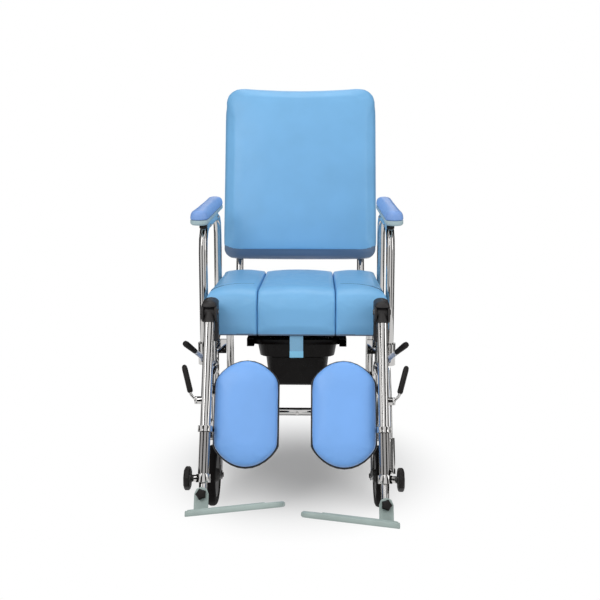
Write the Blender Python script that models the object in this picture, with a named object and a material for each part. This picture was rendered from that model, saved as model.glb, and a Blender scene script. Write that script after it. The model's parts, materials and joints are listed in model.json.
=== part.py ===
# Reclining commode wheelchair: chromed tube frame, lift-out seat centre over a sliding pan,
# elevating swing-away legrests and four casters. Metres, +Z up, the chair faces -Y.
import math

import bmesh
import bpy
from mathutils import Matrix, Vector

# Fits and facets
FIT = 0.0003
TUBE_SIDES = 12
PIN_SIDES = 8
WHEEL_SIDES = 20
BEND_STEP = math.radians(30)

# Side frames
SIDE_X = 0.208
FRAME_RADIUS = 0.011
FRAME_BEND = 0.05
FRONT_LEG_Y = 0.045
REAR_LEG_Y = 0.44
LOWER_RAIL_Z = 0.2
LOWER_RAIL_RADIUS = 0.010
CROSS_TUBE_Y = 0.10
CROSS_TUBE_RADIUS = 0.0105

# Seat, in its own tilted plane: y runs back from the front face, z up from the cushion's underside
SEAT_TILT = math.radians(3.5)
SEAT_FRONT_Z = 0.427
SEAT_HALF_WIDTH = 0.2205
SEAT_DEPTH = 0.42
SEAT_THICKNESS = 0.115
SEAT_WATERFALL = 0.042
SEAT_CENTRE_HALF = 0.097
SEAT_SEAM = 0.0015
SEAT_CROWN = 0.005
CUSHION_EDGE = 0.012
SEAT_BAR_FRONT_Y = 0.10
SEAT_BAR_REAR_Y = 0.33
SEAT_BAR_HALF = 0.012
SEAT_BAR_DEPTH = 0.014
STRAP_WIDTH = 0.034
STRAP_DROP = 0.05
STRAP_THICKNESS = 0.005
STRAP_Y = 0.022

# Pan and its channels, in the seat's plane
RAIL_HALF = 0.126
RAIL_WALL = 0.002
RAIL_LIP = 0.018
RAIL_START_Y = 0.045
RAIL_LENGTH = 0.35
PAN_RIM = 0.0154
PAN_HALF_LENGTH = 0.15
PAN_CENTRE_Y = 0.205
PAN_CORNER = 0.04
PAN_WALL = 0.003
PAN_DEPTH = 0.119
PAN_SHOULDER = 0.037

# Backrest, in its own reclined plane: z up from the hinge, y back
RECLINE = math.radians(15)
HINGE_Y = 0.47
HINGE_Z = 0.385
HINGE_PIN_RADIUS = 0.006
HINGE_EYE_RADIUS = 0.016
HINGE_PLATE = 0.006
UPRIGHT_X = 0.1825
UPRIGHT_HALF_EYE = 0.0135
UPRIGHT_HEIGHT = 0.615
BACK_BAR_RADIUS = 0.009
BACK_BAR_LOW = 0.195
BACK_BAR_HIGH = 0.485
HANDLE_LENGTH = 0.135
HANDLE_RISE = 0.03
GRIP_LENGTH = 0.10
GRIP_RADIUS = 0.016
BACK_HALF_WIDTH = 0.2175
BACK_BOTTOM = 0.152
BACK_HEIGHT = 0.52
BACK_THICKNESS = 0.0665
BACK_CORNER = 0.045
RECLINE_LEVER_LENGTH = 0.075

# Armrests
ARM_X = 0.2335
ARM_FRONT_Y = 0.045
ARM_REAR_Y = 0.37
ARM_BEND = 0.055
ARM_TUBE_Z = 0.682
ARM_SOCKET_RADIUS = 0.016
ARM_SOCKET_LOW = 0.345
ARM_SOCKET_HEIGHT = 0.055
ARM_SOCKET_FLOOR = 0.0045
ARM_PAD_HALF_WIDTH = 0.0235
ARM_PAD_START_Y = -0.03
ARM_PAD_LENGTH = 0.43
ARM_BASE_THICKNESS = 0.0128
ARM_PAD_THICKNESS = 0.025

# Hangers: a post that turns in two collars on the front leg
LEG_X = 0.206
HANGER_Y = -0.03
HANGER_RADIUS = 0.0125
HANGER_LOW = 0.286
HANGER_TOP = 0.462
COLLAR_RADIUS = 0.018
COLLAR_HEIGHT = 0.02
COLLAR_LOW_Z = 0.295
COLLAR_HIGH_Z = 0.345
COLLAR_ARM = 0.014
LATCH_AZIMUTH = math.radians(-35)
LATCH_REACH = 0.024
LATCH_Z = 0.385
LATCH_GRIP_LENGTH = 0.042
LATCH_GRIP_RADIUS = 0.0078
LATCH_SLOPE = math.radians(42)

# Knee and legrests, in the inclined plane of the tube: z up along the tube from the knee, y back
KNEE_Y = -0.062
KNEE_Z = 0.505
LEG_INCLINE = math.radians(25)
KNEE_PIN_RADIUS = 0.004
KNEE_CHEEK = 0.005
KNEE_SLOT_HALF = 0.0135
KNEE_RADIUS = 0.019
LEG_TUBE_RADIUS = 0.0125
LEG_TUBE_LENGTH = 0.394
EXTENSION_RADIUS = 0.0095
EXTENSION_START = 0.26
EXTENSION_REACH = {-1: 0.42, 1: 0.44}
CLAMP_LENGTH = 0.018
CLAMP_RADIUS = 0.0165
CLAMP_BOSS_END = 0.027
KNOB_RADIUS = 0.03
KNOB_THICKNESS = 0.018
KNOB_NECK = 0.004
RELEASE_AT = 0.21
RELEASE_BOSS_RADIUS = 0.009
RELEASE_BOSS_END = 0.0205
RELEASE_ROD_RADIUS = 0.0035
RELEASE_GRIP_RADIUS = 0.0068
STRUT_RADIUS = 0.0075
STRUT_ROD_RADIUS = 0.0027
STRUT_OFFSET = 0.0215
STRUT_ANGLE = {-1: math.radians(90), 1: math.radians(35)}
STRUT_SLEEVE_START = 0.292
STRUT_SLEEVE_END = 0.372

# Calf pads
CALF_HALF_WIDTH = 0.075
CALF_HALF_HEIGHT = 0.122
CALF_ARCH = 0.024
CALF_OUTER_X = 0.016
CALF_AT = 0.243
CALF_FRONT_Y = 0.012
CALF_THICKNESS = 0.035
CALF_BACK_THICKNESS = 0.004
CALF_COLLAR_AT = 0.275
CALF_COLLAR_HEIGHT = 0.012
CALF_COLLAR_RADIUS = 0.0165
CALF_ARM_RADIUS = 0.004

# Footplates
EAR_RADIUS = 0.016
EAR_THICKNESS = 0.006
EYE_RADIUS = 0.012
EYE_FRONT = 0.018
EYE_BACK = 0.008
FOOT_DROP = 0.0325
FOOT_OUTER = 0.039
FOOT_INNER = 0.188
FOOT_FRONT = 0.15
FOOT_HEEL = 0.004
FOOT_THICKNESS = 0.012
FOOT_CORNER = 0.026
FOOT_ROLL = math.radians(6)
STAR_RADIUS = 0.013
STAR_THICKNESS = 0.012

# Casters
WHEEL_RADIUS = 0.075
TYRE_HALF_WIDTH = 0.012
TYRE_DEPTH = 0.020
HUB_HALF_WIDTH = 0.0145
AXLE_RADIUS = 0.005
FORK_GAP = 0.0165
FORK_WALL = 0.004
FORK_CROWN = 0.006
STEM_RADIUS = 0.006
STEM_LENGTH = 0.028
HEAD_RADIUS = 0.0145
HEAD_HEIGHT = 0.036
LEG_BOTTOM = 0.162
TRAIL = 0.06
PEDAL_Y = 0.118
PEDAL_Z = 0.149
PEDAL_LENGTH = 0.045

# Places worked out from the sizes above
SEAT = Matrix.Translation((0, 0, SEAT_FRONT_Z)) @ Matrix.Rotation(-SEAT_TILT, 4, "X")
BACK = Matrix.Translation((0, HINGE_Y, HINGE_Z)) @ Matrix.Rotation(-RECLINE, 4, "X")
KNEE = Vector((LEG_X, KNEE_Y, KNEE_Z))
LEG = Matrix.Translation(KNEE) @ Matrix.Rotation(-LEG_INCLINE, 4, "X")
FLAT = math.cos(math.pi / TUBE_SIDES)
AXLE_Z = WHEEL_RADIUS * math.cos(math.pi / WHEEL_SIDES)
SIDES = {-1: "left", 1: "right"}


def rail_z(y):
    """Height of the seat rail's axis, just under the cushion."""
    return SEAT_FRONT_Z - y * math.tan(SEAT_TILT) - (FRAME_RADIUS + FIT) / math.cos(SEAT_TILT)


def bore(radius, sides=TUBE_SIDES):
    """Radius of a faceted hole that a faceted pin of this radius turns in."""
    return (radius + FIT) / math.cos(math.pi / sides)


# Solids

def finished(bm):
    """The closed mesh of a bmesh, facing out."""
    bmesh.ops.recalc_face_normals(bm, faces=bm.faces)
    mesh = bpy.data.meshes.new("solid")
    bm.to_mesh(mesh)
    bm.free()
    return mesh


def skinned(rings, closed=False):
    """A surface through rings of points, with flat ends or, when closed, round to its start."""
    bm = bmesh.new()
    loops = [[bm.verts.new(point) for point in ring] for ring in rings]
    pairs = list(zip(loops, loops[1:]))
    if closed:
        pairs.append((loops[-1], loops[0]))
    else:
        bm.faces.new(loops[0])
        bm.faces.new(loops[-1])
    for low, high in pairs:
        for k in range(len(low)):
            after = (k + 1) % len(low)
            bm.faces.new((low[k], low[after], high[after], high[k]))
    return finished(bm)


def bent_path(points, bend):
    """The corner points of a tube, each inner corner replaced by an arc."""
    corners = [Vector(point) for point in points]
    path = [corners[0]]
    for before, corner, after in zip(corners, corners[1:], corners[2:]):
        back = (before - corner).normalized()
        ahead = (after - corner).normalized()
        half = back.angle(ahead) / 2
        centre = corner + (back + ahead).normalized() * (bend / math.sin(half))
        start = (corner + back * (bend / math.tan(half)) - centre).normalized()
        end = (corner + ahead * (bend / math.tan(half)) - centre).normalized()
        steps = max(2, round(start.angle(end) / BEND_STEP))
        for k in range(steps + 1):
            path.append(centre + start.slerp(end, k / steps) * bend)
    path.append(corners[-1])
    return path


def tube(points, radius, across, bend=0.0, sides=TUBE_SIDES):
    """A round bar along a flat path; across is square to the path's plane."""
    path = bent_path(points, bend) if bend else [Vector(point) for point in points]
    across = Vector(across).normalized()
    rings = []
    for index, point in enumerate(path):
        along = path[min(index + 1, len(path) - 1)] - path[max(index - 1, 0)]
        side = along.normalized().cross(across)
        ring = []
        for k in range(sides):
            angle = 2 * math.pi * (k + 0.5) / sides
            ring.append(point + (across * math.cos(angle) + side * math.sin(angle)) * radius)
        rings.append(ring)
    return skinned(rings)


def turned(profile, sides=TUBE_SIDES, closed=False):
    """A profile of (radius, z) turned round Z."""
    rings = []
    for radius, z in profile:
        ring = []
        for k in range(sides):
            angle = 2 * math.pi * (k + 0.5) / sides
            ring.append((radius * math.cos(angle), radius * math.sin(angle), z))
        rings.append(ring)
    return skinned(rings, closed)


def rounded(corners, steps=2):
    """A flat outline from (u, v, corner radius) points, anticlockwise, with arcs at the corners."""
    outline = []
    for index, (u, v, radius) in enumerate(corners):
        here = Vector((u, v))
        back = (Vector(corners[index - 1][:2]) - here).normalized()
        ahead = (Vector(corners[(index + 1) % len(corners)][:2]) - here).normalized()
        half = back.angle(ahead) / 2
        centre = here + (back + ahead).normalized() * (radius / math.sin(half))
        start = here + back * (radius / math.tan(half)) - centre
        end = here + ahead * (radius / math.tan(half)) - centre
        turn = start.angle_signed(end)
        for k in range(steps + 1):
            outline.append(centre + Matrix.Rotation(-turn * k / steps, 2) @ start)
    return outline


def rectangle(half_u, half_v, radius, steps=3):
    """A rounded rectangle about the origin."""
    return rounded(
        [
            (half_u, -half_v, radius),
            (half_u, half_v, radius),
            (-half_u, half_v, radius),
            (-half_u, -half_v, radius),
        ],
        steps,
    )


def stacked(outline, rings):
    """An outline in XY repeated up Z; each ring of (inset, z) draws its edge in."""
    us = [point[0] for point in outline]
    vs = [point[1] for point in outline]
    middle_u = (max(us) + min(us)) / 2
    middle_v = (max(vs) + min(vs)) / 2
    half_u = (max(us) - min(us)) / 2
    half_v = (max(vs) - min(vs)) / 2
    loops = []
    for inset, z in rings:
        grow_u = (half_u - inset) / half_u
        grow_v = (half_v - inset) / half_v
        loops.append(
            [(middle_u + (u - middle_u) * grow_u, middle_v + (v - middle_v) * grow_v, z) for u, v in outline]
        )
    return skinned(loops)


def block(low, high):
    """A plain bar between two corners."""
    outline = [(low[0], low[1]), (high[0], low[1]), (high[0], high[1]), (low[0], high[1])]
    return stacked(outline, [(0, low[2]), (0, high[2])])


def placed(mesh, matrix):
    mesh.transform(matrix)
    return mesh


def at(x, y, z):
    return Matrix.Translation((x, y, z))


# Turns a solid built up Z to run along X, with its own XY in the chair's YZ
ALONG_X = Matrix(((0, 0, 1, 0), (1, 0, 0, 0), (0, 1, 0, 0), (0, 0, 0, 1)))
# Turns a solid built up Z to run forwards along -Y
ALONG_FRONT = Matrix.Rotation(math.radians(90), 4, "X")


def cylinder(radius, low, high, place, sides=TUBE_SIDES):
    """A round solid up the Z of a place."""
    return placed(turned([(radius, low), (radius, high)], sides), place)


def combined(base, others, operation, solver):
    """One mesh from Boolean steps on the first."""
    scene = bpy.context.scene.collection
    target = bpy.data.objects.new("target", base)
    scene.objects.link(target)
    helpers = []
    for other in others:
        helper = bpy.data.objects.new("helper", other)
        scene.objects.link(helper)
        step = target.modifiers.new("step", "BOOLEAN")
        step.operation = operation
        step.solver = solver
        step.object = helper
        helpers.append(helper)
    bpy.context.view_layer.update()
    graph = bpy.context.evaluated_depsgraph_get()
    mesh = bpy.data.meshes.new_from_object(target.evaluated_get(graph))
    for helper in [target, *helpers]:
        bpy.data.objects.remove(helper)
    return mesh


def fused(base, *others, solver="EXACT"):
    return combined(base, others, "UNION", solver)


def cut(base, *others):
    return combined(base, others, "DIFFERENCE", "EXACT")


# Materials, bodies and parts

def material(name, colour, roughness, metallic=0.0):
    made = bpy.data.materials.new(name)
    made.use_nodes = True
    shader = made.node_tree.nodes["Principled BSDF"]
    shader.inputs["Base Color"].default_value = (*colour, 1)
    shader.inputs["Roughness"].default_value = roughness
    shader.inputs["Metallic"].default_value = metallic
    return made


def body(name, pivot, parent, side=1):
    """An empty on a joint's axis, which carries the parts of one moving body."""
    empty = bpy.data.objects.new("body_" + name, None)
    bpy.context.scene.collection.objects.link(empty)
    pivot = Vector(pivot)
    pivot.x *= side
    empty["pivot"] = pivot
    empty.parent = parent
    empty.location = pivot - Vector(parent["pivot"]) if parent else pivot
    return empty


def part(name, mesh, finish, carrier, side=1):
    """A named sub-part on its body, mirrored for the left-hand side."""
    if side < 0:
        mesh.transform(Matrix.Scale(-1, 4, (1, 0, 0)))
        mesh.flip_normals()
    mesh.transform(Matrix.Translation(-Vector(carrier["pivot"])))
    mesh.name = name
    mesh.materials.clear()
    mesh.materials.append(finish)
    mesh.shade_smooth()
    mesh.set_sharp_from_angle(angle=math.radians(35))
    obj = bpy.data.objects.new(name, mesh)
    bpy.context.scene.collection.objects.link(obj)
    obj.parent = carrier
    return obj


# Frame

def caster_head(y):
    return cylinder(HEAD_RADIUS, LEG_BOTTOM, LEG_BOTTOM + HEAD_HEIGHT, at(SIDE_X, y, 0))


def hinge_plate():
    """Plate on the rear bend that holds the backrest's hinge pin."""
    low = HINGE_Z - HINGE_EYE_RADIUS
    high = HINGE_Z + HINGE_EYE_RADIUS
    front = REAR_LEG_Y - FRAME_BEND - FRAME_RADIUS
    outline = rounded(
        [
            (front, low, 0.004),
            (HINGE_Y + HINGE_EYE_RADIUS, low, HINGE_EYE_RADIUS - 0.001),
            (HINGE_Y + HINGE_EYE_RADIUS, high, HINGE_EYE_RADIUS - 0.001),
            (front, rail_z(front) + FRAME_RADIUS / 2, 0.002),
        ]
    )
    middle = SIDE_X - FRAME_RADIUS / 2
    rings = [(0, middle - HINGE_PLATE / 2), (0, middle + HINGE_PLATE / 2)]
    return placed(stacked(outline, rings), ALONG_X)


def hinge_pin():
    """Pin inwards from the hinge plate, with its head inside the eye."""
    place = at(0, HINGE_Y, HINGE_Z) @ ALONG_X
    inner = UPRIGHT_X - UPRIGHT_HALF_EYE - FIT
    shank = [(HINGE_PIN_RADIUS, inner - 0.001), (HINGE_PIN_RADIUS, SIDE_X - FRAME_RADIUS / 2)]
    head = [(0.008, inner - 0.003), (0.010, inner - 0.002), (0.010, inner)]
    return placed(turned(shank, PIN_SIDES), place), placed(turned(head, PIN_SIDES), place)


def hanger_collar(z):
    """Ring round the hanger post, with its arm to the front leg."""
    ring = cylinder(COLLAR_RADIUS, z, z + COLLAR_HEIGHT, at(LEG_X, HANGER_Y, 0))
    arm_low = (LEG_X - COLLAR_ARM / 2, HANGER_Y, z + 0.002)
    arm_high = (LEG_X + COLLAR_ARM / 2, FRONT_LEG_Y, z + COLLAR_HEIGHT - 0.002)
    return ring, block(arm_low, arm_high)


def side_frame():
    top_front = rail_z(FRONT_LEG_Y)
    top_rear = rail_z(REAR_LEG_Y)
    loop = tube(
        [
            (SIDE_X, FRONT_LEG_Y, LEG_BOTTOM + HEAD_HEIGHT / 2),
            (SIDE_X, FRONT_LEG_Y, top_front),
            (SIDE_X, REAR_LEG_Y, top_rear),
            (SIDE_X, REAR_LEG_Y, LEG_BOTTOM + HEAD_HEIGHT / 2),
        ],
        FRAME_RADIUS,
        (1, 0, 0),
        FRAME_BEND,
    )
    rail = tube(
        [(SIDE_X, FRONT_LEG_Y, LOWER_RAIL_Z), (SIDE_X, REAR_LEG_Y, LOWER_RAIL_Z)],
        LOWER_RAIL_RADIUS,
        (1, 0, 0),
    )
    bracket_low = (SIDE_X - 0.030, FRONT_LEG_Y - 0.003, top_front - 0.040)
    bracket_high = (SIDE_X, FRONT_LEG_Y + 0.003, top_front - 0.004)
    welded = [rail, caster_head(FRONT_LEG_Y), caster_head(REAR_LEG_Y), block(bracket_low, bracket_high)]
    holes = []
    for z in (COLLAR_LOW_Z, COLLAR_HIGH_Z):
        welded += hanger_collar(z)
        holes.append(cylinder(bore(HANGER_RADIUS), z - 0.01, z + COLLAR_HEIGHT + 0.01, at(LEG_X, HANGER_Y, 0)))
    socket_high = ARM_SOCKET_LOW + ARM_SOCKET_HEIGHT
    socket_floor = ARM_SOCKET_LOW + ARM_SOCKET_FLOOR
    for y in (ARM_FRONT_Y, ARM_REAR_Y):
        welded.append(cylinder(ARM_SOCKET_RADIUS, ARM_SOCKET_LOW, socket_high, at(ARM_X, y, 0)))
        holes.append(cylinder(bore(FRAME_RADIUS), socket_floor, socket_high + 0.01, at(ARM_X, y, 0)))
    for y in (FRONT_LEG_Y, REAR_LEG_Y):
        holes.append(cylinder(bore(STEM_RADIUS), LEG_BOTTOM - 0.01, LEG_BOTTOM + STEM_LENGTH + FIT, at(SIDE_X, y, 0)))
    welded.append(hinge_plate())
    welded += hinge_pin()
    return cut(fused(loop, *welded, solver="MANIFOLD"), *holes)


def recline_socket_cutter():
    """Blind hole from outside into the hinge plate and pin, for the clamp lever's stud."""
    outer = SIDE_X - FRAME_RADIUS / 2 + HINGE_PLATE / 2
    place = at(0, HINGE_Y, HINGE_Z) @ ALONG_X
    return cylinder(bore(KNEE_PIN_RADIUS, PIN_SIDES), outer - 0.005, outer + 0.01, place, PIN_SIDES)


def recline_lever():
    """Clamp lever on the right hinge: disc, stud, bar and ball."""
    outer = SIDE_X - FRAME_RADIUS / 2 + HINGE_PLATE / 2 + FIT
    place = at(0, HINGE_Y, HINGE_Z) @ ALONG_X
    disc = cylinder(HINGE_EYE_RADIUS - 0.003, outer, outer + 0.008, place)
    stud = cylinder(KNEE_PIN_RADIUS, outer - 0.005, outer + 0.004, place, PIN_SIDES)
    x = outer + 0.004
    drop = RECLINE_LEVER_LENGTH * math.sin(RECLINE)
    tip = (x, HINGE_Y + RECLINE_LEVER_LENGTH, HINGE_Z - drop)
    bar = tube([(x, HINGE_Y, HINGE_Z), tip], 0.0035, (1, 0, 0), sides=PIN_SIDES)
    ball = turned([(0.003, -0.0085), (0.008, -0.005), (0.009, 0), (0.008, 0.005), (0.003, 0.0085)], PIN_SIDES)
    return fused(disc, stud, bar, placed(ball, at(*tip)))


def lower_cross_tube():
    reach = SIDE_X - LOWER_RAIL_RADIUS * FLAT - FIT
    ends = [(-reach, CROSS_TUBE_Y, LOWER_RAIL_Z), (reach, CROSS_TUBE_Y, LOWER_RAIL_Z)]
    return tube(ends, CROSS_TUBE_RADIUS, (0, 0, 1))


def pan_channel():
    """C-section rail, open inwards, that the pan's rim slides in."""
    top = -SEAT_BAR_DEPTH + 0.0008
    slot_top = top - RAIL_WALL
    slot_low = slot_top - PAN_RIM - 2 * FIT
    low = slot_low - RAIL_WALL
    inner = RAIL_HALF - RAIL_LIP
    web = RAIL_HALF - RAIL_WALL
    outline = [
        (inner, low),
        (RAIL_HALF, low),
        (RAIL_HALF, top),
        (inner, top),
        (inner, slot_top),
        (web, slot_top),
        (web, slot_low),
        (inner, slot_low),
    ]
    rings = [(0, -RAIL_START_Y - RAIL_LENGTH), (0, -RAIL_START_Y)]
    return placed(stacked(outline, rings), ALONG_FRONT)


def seat_frame():
    """Two cross bars between the seat rails, with the pan's channels welded under them."""
    reach = SIDE_X - FRAME_RADIUS * FLAT - FIT
    bars = []
    for y in (SEAT_BAR_FRONT_Y, SEAT_BAR_REAR_Y):
        bars.append(block((-reach, y - SEAT_BAR_HALF, -FIT - SEAT_BAR_DEPTH), (reach, y + SEAT_BAR_HALF, -FIT)))
    left = pan_channel()
    left.transform(Matrix.Scale(-1, 4, (1, 0, 0)))
    left.flip_normals()
    return placed(fused(bars[0], bars[1], pan_channel(), left), SEAT)


# Seat and pan

def seat_profile():
    """Side view of the cushion: waterfall front, soft back edge."""
    return rounded(
        [
            (0, 0, 0.016),
            (SEAT_DEPTH, 0, 0.01),
            (SEAT_DEPTH, SEAT_THICKNESS, 0.02),
            (0, SEAT_THICKNESS, SEAT_WATERFALL),
        ],
        4,
    )


def seat_block(low, high):
    """A seat cushion between two X positions, drawn in at its seams and crowned on top."""
    profile = seat_profile()
    width = high - low
    rings = []
    for step in range(9):
        share = step / 8
        edge = min(share, 1 - share) * width
        x = low + share * width
        if step in (1, 7):
            edge = CUSHION_EDGE * 0.35
            x = low + edge if step == 1 else high - edge
        if step in (2, 6):
            edge = CUSHION_EDGE
            x = low + edge if step == 2 else high - edge
        lift = max(0.0, 1 - edge / CUSHION_EDGE)
        inset = CUSHION_EDGE * 0.6 * (1 - math.sqrt(1 - lift * lift))
        crown = SEAT_CROWN * math.sin(math.pi * (x - low) / width)
        ring = []
        for y, z in profile:
            share_y = (y - SEAT_DEPTH / 2) / (SEAT_DEPTH / 2)
            share_z = z / SEAT_THICKNESS
            ring.append((x, y - share_y * inset, z * (1 - inset / SEAT_THICKNESS) + crown * share_z))
        rings.append(ring)
    return placed(skinned(rings), SEAT)


def pull_strap():
    """Webbing loop that hangs from the front of the centre cushion."""
    half = STRAP_THICKNESS / 2
    loop = rounded(
        [
            (STRAP_Y - half, -STRAP_DROP, half * 0.9),
            (STRAP_Y + half, -STRAP_DROP, half * 0.9),
            (STRAP_Y + half + 0.004, -FIT, 0.0005),
            (STRAP_Y - half - 0.004, -FIT, 0.0005),
        ]
    )
    rings = [(0, -STRAP_WIDTH / 2), (0, STRAP_WIDTH / 2)]
    return placed(stacked(loop, rings), SEAT @ ALONG_X)


def commode_pan():
    """Open pan with a thick sliding rim, a stepped wall and a flat floor."""
    half = RAIL_HALF - RAIL_WALL - FIT
    top = -SEAT_BAR_DEPTH + 0.0008 - RAIL_WALL - FIT
    under = top - PAN_RIM
    floor = under - PAN_DEPTH
    shoulder = under - PAN_SHOULDER
    wall = RAIL_LIP + 0.002
    outer = [
        (wall + 0.040, floor),
        (wall + 0.030, floor + 0.008),
        (wall + 0.022, shoulder - 0.006),
        (wall + 0.007, shoulder),
        (wall, under),
        (0, under),
        (0, top - 0.003),
        (0.003, top),
    ]
    inner = [(inset + PAN_WALL, z + PAN_WALL) for inset, z in outer[:4]]
    inner.append((wall + PAN_WALL, top))
    outline = rectangle(half, PAN_HALF_LENGTH, PAN_CORNER, 4)
    pan = stacked(outline, outer + inner[::-1])
    return placed(pan, SEAT @ at(0, PAN_CENTRE_Y, 0))


# Backrest

def handle_points():
    return [(UPRIGHT_X, 0, UPRIGHT_HEIGHT), (UPRIGHT_X, HANDLE_LENGTH, UPRIGHT_HEIGHT + HANDLE_RISE)]


def backrest_frame():
    """Uprights with hinge eyes and push handles, joined by two cross bars."""
    pieces = []
    holes = []
    for side in (-1, 1):
        across = (side, 0, 0)
        turn, end = [(side * x, y, z) for x, y, z in handle_points()]
        pieces.append(tube([(side * UPRIGHT_X, 0, 0), turn, end], FRAME_RADIUS, across, FRAME_BEND))
        place = at(side * UPRIGHT_X, 0, 0) @ ALONG_X
        pieces.append(cylinder(HINGE_EYE_RADIUS, -UPRIGHT_HALF_EYE, UPRIGHT_HALF_EYE, place))
        holes.append(
            cylinder(bore(HINGE_PIN_RADIUS, PIN_SIDES), -UPRIGHT_HALF_EYE - 0.01, UPRIGHT_HALF_EYE + 0.01, place, PIN_SIDES)
        )
    for z in (BACK_BAR_LOW, BACK_BAR_HIGH):
        pieces.append(tube([(-UPRIGHT_X, 0, z), (UPRIGHT_X, 0, z)], BACK_BAR_RADIUS, (0, 0, 1)))
    return placed(cut(fused(*pieces), *holes), BACK)


def backrest_cushion():
    outline = rounded(
        [
            (BACK_HALF_WIDTH, BACK_BOTTOM, BACK_CORNER * 0.6),
            (BACK_HALF_WIDTH, BACK_BOTTOM + BACK_HEIGHT, BACK_CORNER),
            (-BACK_HALF_WIDTH, BACK_BOTTOM + BACK_HEIGHT, BACK_CORNER),
            (-BACK_HALF_WIDTH, BACK_BOTTOM, BACK_CORNER * 0.6),
        ],
        5,
    )
    back = FRAME_RADIUS * FLAT + FIT
    front = back + BACK_THICKNESS
    rings = [
        (0.008, back),
        (0.001, back + 0.008),
        (0.002, back + BACK_THICKNESS * 0.45),
        (0.0, back + BACK_THICKNESS * 0.7),
        (0.006, front - 0.011),
        (0.018, front - 0.004),
        (0.05, front),
        (0.11, front + 0.003),
    ]
    return placed(stacked(outline, rings), BACK @ ALONG_FRONT)


def push_grip():
    """Ribbed rubber sleeve on the end of a push handle."""
    start, end = [Vector(point) for point in handle_points()]
    along = (end - start).normalized()
    place = Matrix.Translation(end) @ along.to_track_quat("Z", "X").to_matrix().to_4x4()
    ribs = 3
    profile = [(GRIP_RADIUS + 0.003, -GRIP_LENGTH), (GRIP_RADIUS + 0.003, -GRIP_LENGTH + 0.006)]
    pitch = (GRIP_LENGTH - 0.012) / ribs
    for k in range(ribs):
        z = -GRIP_LENGTH + 0.008 + pitch * k
        profile.append((GRIP_RADIUS - 0.0015, z))
        profile.append((GRIP_RADIUS, z + pitch / 2))
    profile += [(GRIP_RADIUS - 0.0015, 0.0), (GRIP_RADIUS - 0.005, 0.006)]
    sleeve = turned(profile)
    hole = cylinder(bore(FRAME_RADIUS), -GRIP_LENGTH - 0.01, FIT, Matrix.Identity(4))
    return placed(cut(sleeve, hole), BACK @ place)


# Armrests

def armrest_frame():
    low = ARM_SOCKET_LOW + ARM_SOCKET_FLOOR + FIT
    points = [
        (ARM_X, ARM_FRONT_Y, low),
        (ARM_X, ARM_FRONT_Y, ARM_TUBE_Z),
        (ARM_X, ARM_REAR_Y, ARM_TUBE_Z),
        (ARM_X, ARM_REAR_Y, low),
    ]
    return tube(points, FRAME_RADIUS, (1, 0, 0), ARM_BEND)


def armrest_plan(inset):
    half_length = ARM_PAD_LENGTH / 2 - inset
    half_width = ARM_PAD_HALF_WIDTH - inset
    return rectangle(half_width, half_length, half_width - 0.002, 4)


def armrest_base():
    low = ARM_TUBE_Z + FRAME_RADIUS * FLAT + FIT
    high = low + ARM_BASE_THICKNESS
    base = stacked(armrest_plan(0.0015), [(0.004, low), (0.0, low + 0.004), (0.0, high)])
    return placed(base, at(ARM_X, ARM_PAD_START_Y + ARM_PAD_LENGTH / 2, 0))


def armrest_pad():
    low = ARM_TUBE_Z + FRAME_RADIUS * FLAT + ARM_BASE_THICKNESS + 2 * FIT
    high = low + ARM_PAD_THICKNESS
    rings = [(0.002, low), (0.0, low + 0.005), (0.001, low + 0.012), (0.003, high - 0.006), (0.009, high - 0.001), (0.015, high)]
    return placed(stacked(armrest_plan(0), rings), at(ARM_X, ARM_PAD_START_Y + ARM_PAD_LENGTH / 2, 0))


# Hangers and legrests

def latch_place():
    """Frame of the latch lever's pivot: X out along the lug, Y along the pivot pin, Z up."""
    turn = Matrix.Rotation(LATCH_AZIMUTH, 4, "Z")
    return at(LEG_X, HANGER_Y, LATCH_Z) @ turn @ at(LATCH_REACH, 0, 0)


def hanger():
    """Post with a shoulder on the upper collar and a lug for the latch lever."""
    post = cylinder(HANGER_RADIUS, HANGER_LOW, HANGER_TOP, at(LEG_X, HANGER_Y, 0))
    seat = COLLAR_HIGH_Z + COLLAR_HEIGHT + FIT
    shoulder = cylinder(HANGER_RADIUS + 0.004, seat, seat + 0.008, at(LEG_X, HANGER_Y, 0))
    outline = rounded(
        [(-LATCH_REACH + 0.006, -0.010, 0.002), (0.008, -0.010, 0.007), (0.008, 0.010, 0.007), (-LATCH_REACH + 0.006, 0.010, 0.002)]
    )
    upright = latch_place() @ ALONG_FRONT
    lug = placed(stacked(outline, [(0, -0.0025), (0, 0.0025)]), upright)
    pin = cylinder(0.003, -0.0025, 0.0065, upright, PIN_SIDES)
    return fused(post, shoulder, lug, pin)


def latch_lever():
    """Flat bar on the lug's pin, bent up at the grip's slope."""
    upright = latch_place() @ ALONG_FRONT
    reach = 0.034
    rise = Matrix.Rotation(LATCH_SLOPE, 4, "Z")
    bar = placed(stacked(rectangle(reach / 2, 0.006, 0.002, 2), [(0, 0.0028), (0, 0.0062)]), upright @ rise @ at(reach / 2 - 0.004, 0, 0))
    boss = cylinder(0.008, 0.0028, 0.0062, upright)
    hole = cylinder(bore(0.003, PIN_SIDES), 0, 0.01, upright, PIN_SIDES)
    tang = cylinder(0.0035, 0, 0.022, upright @ rise @ at(reach - 0.008, 0, 0.0045) @ Matrix.Rotation(math.radians(90), 4, "Y"), PIN_SIDES)
    return cut(fused(bar, boss, tang), hole)


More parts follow.
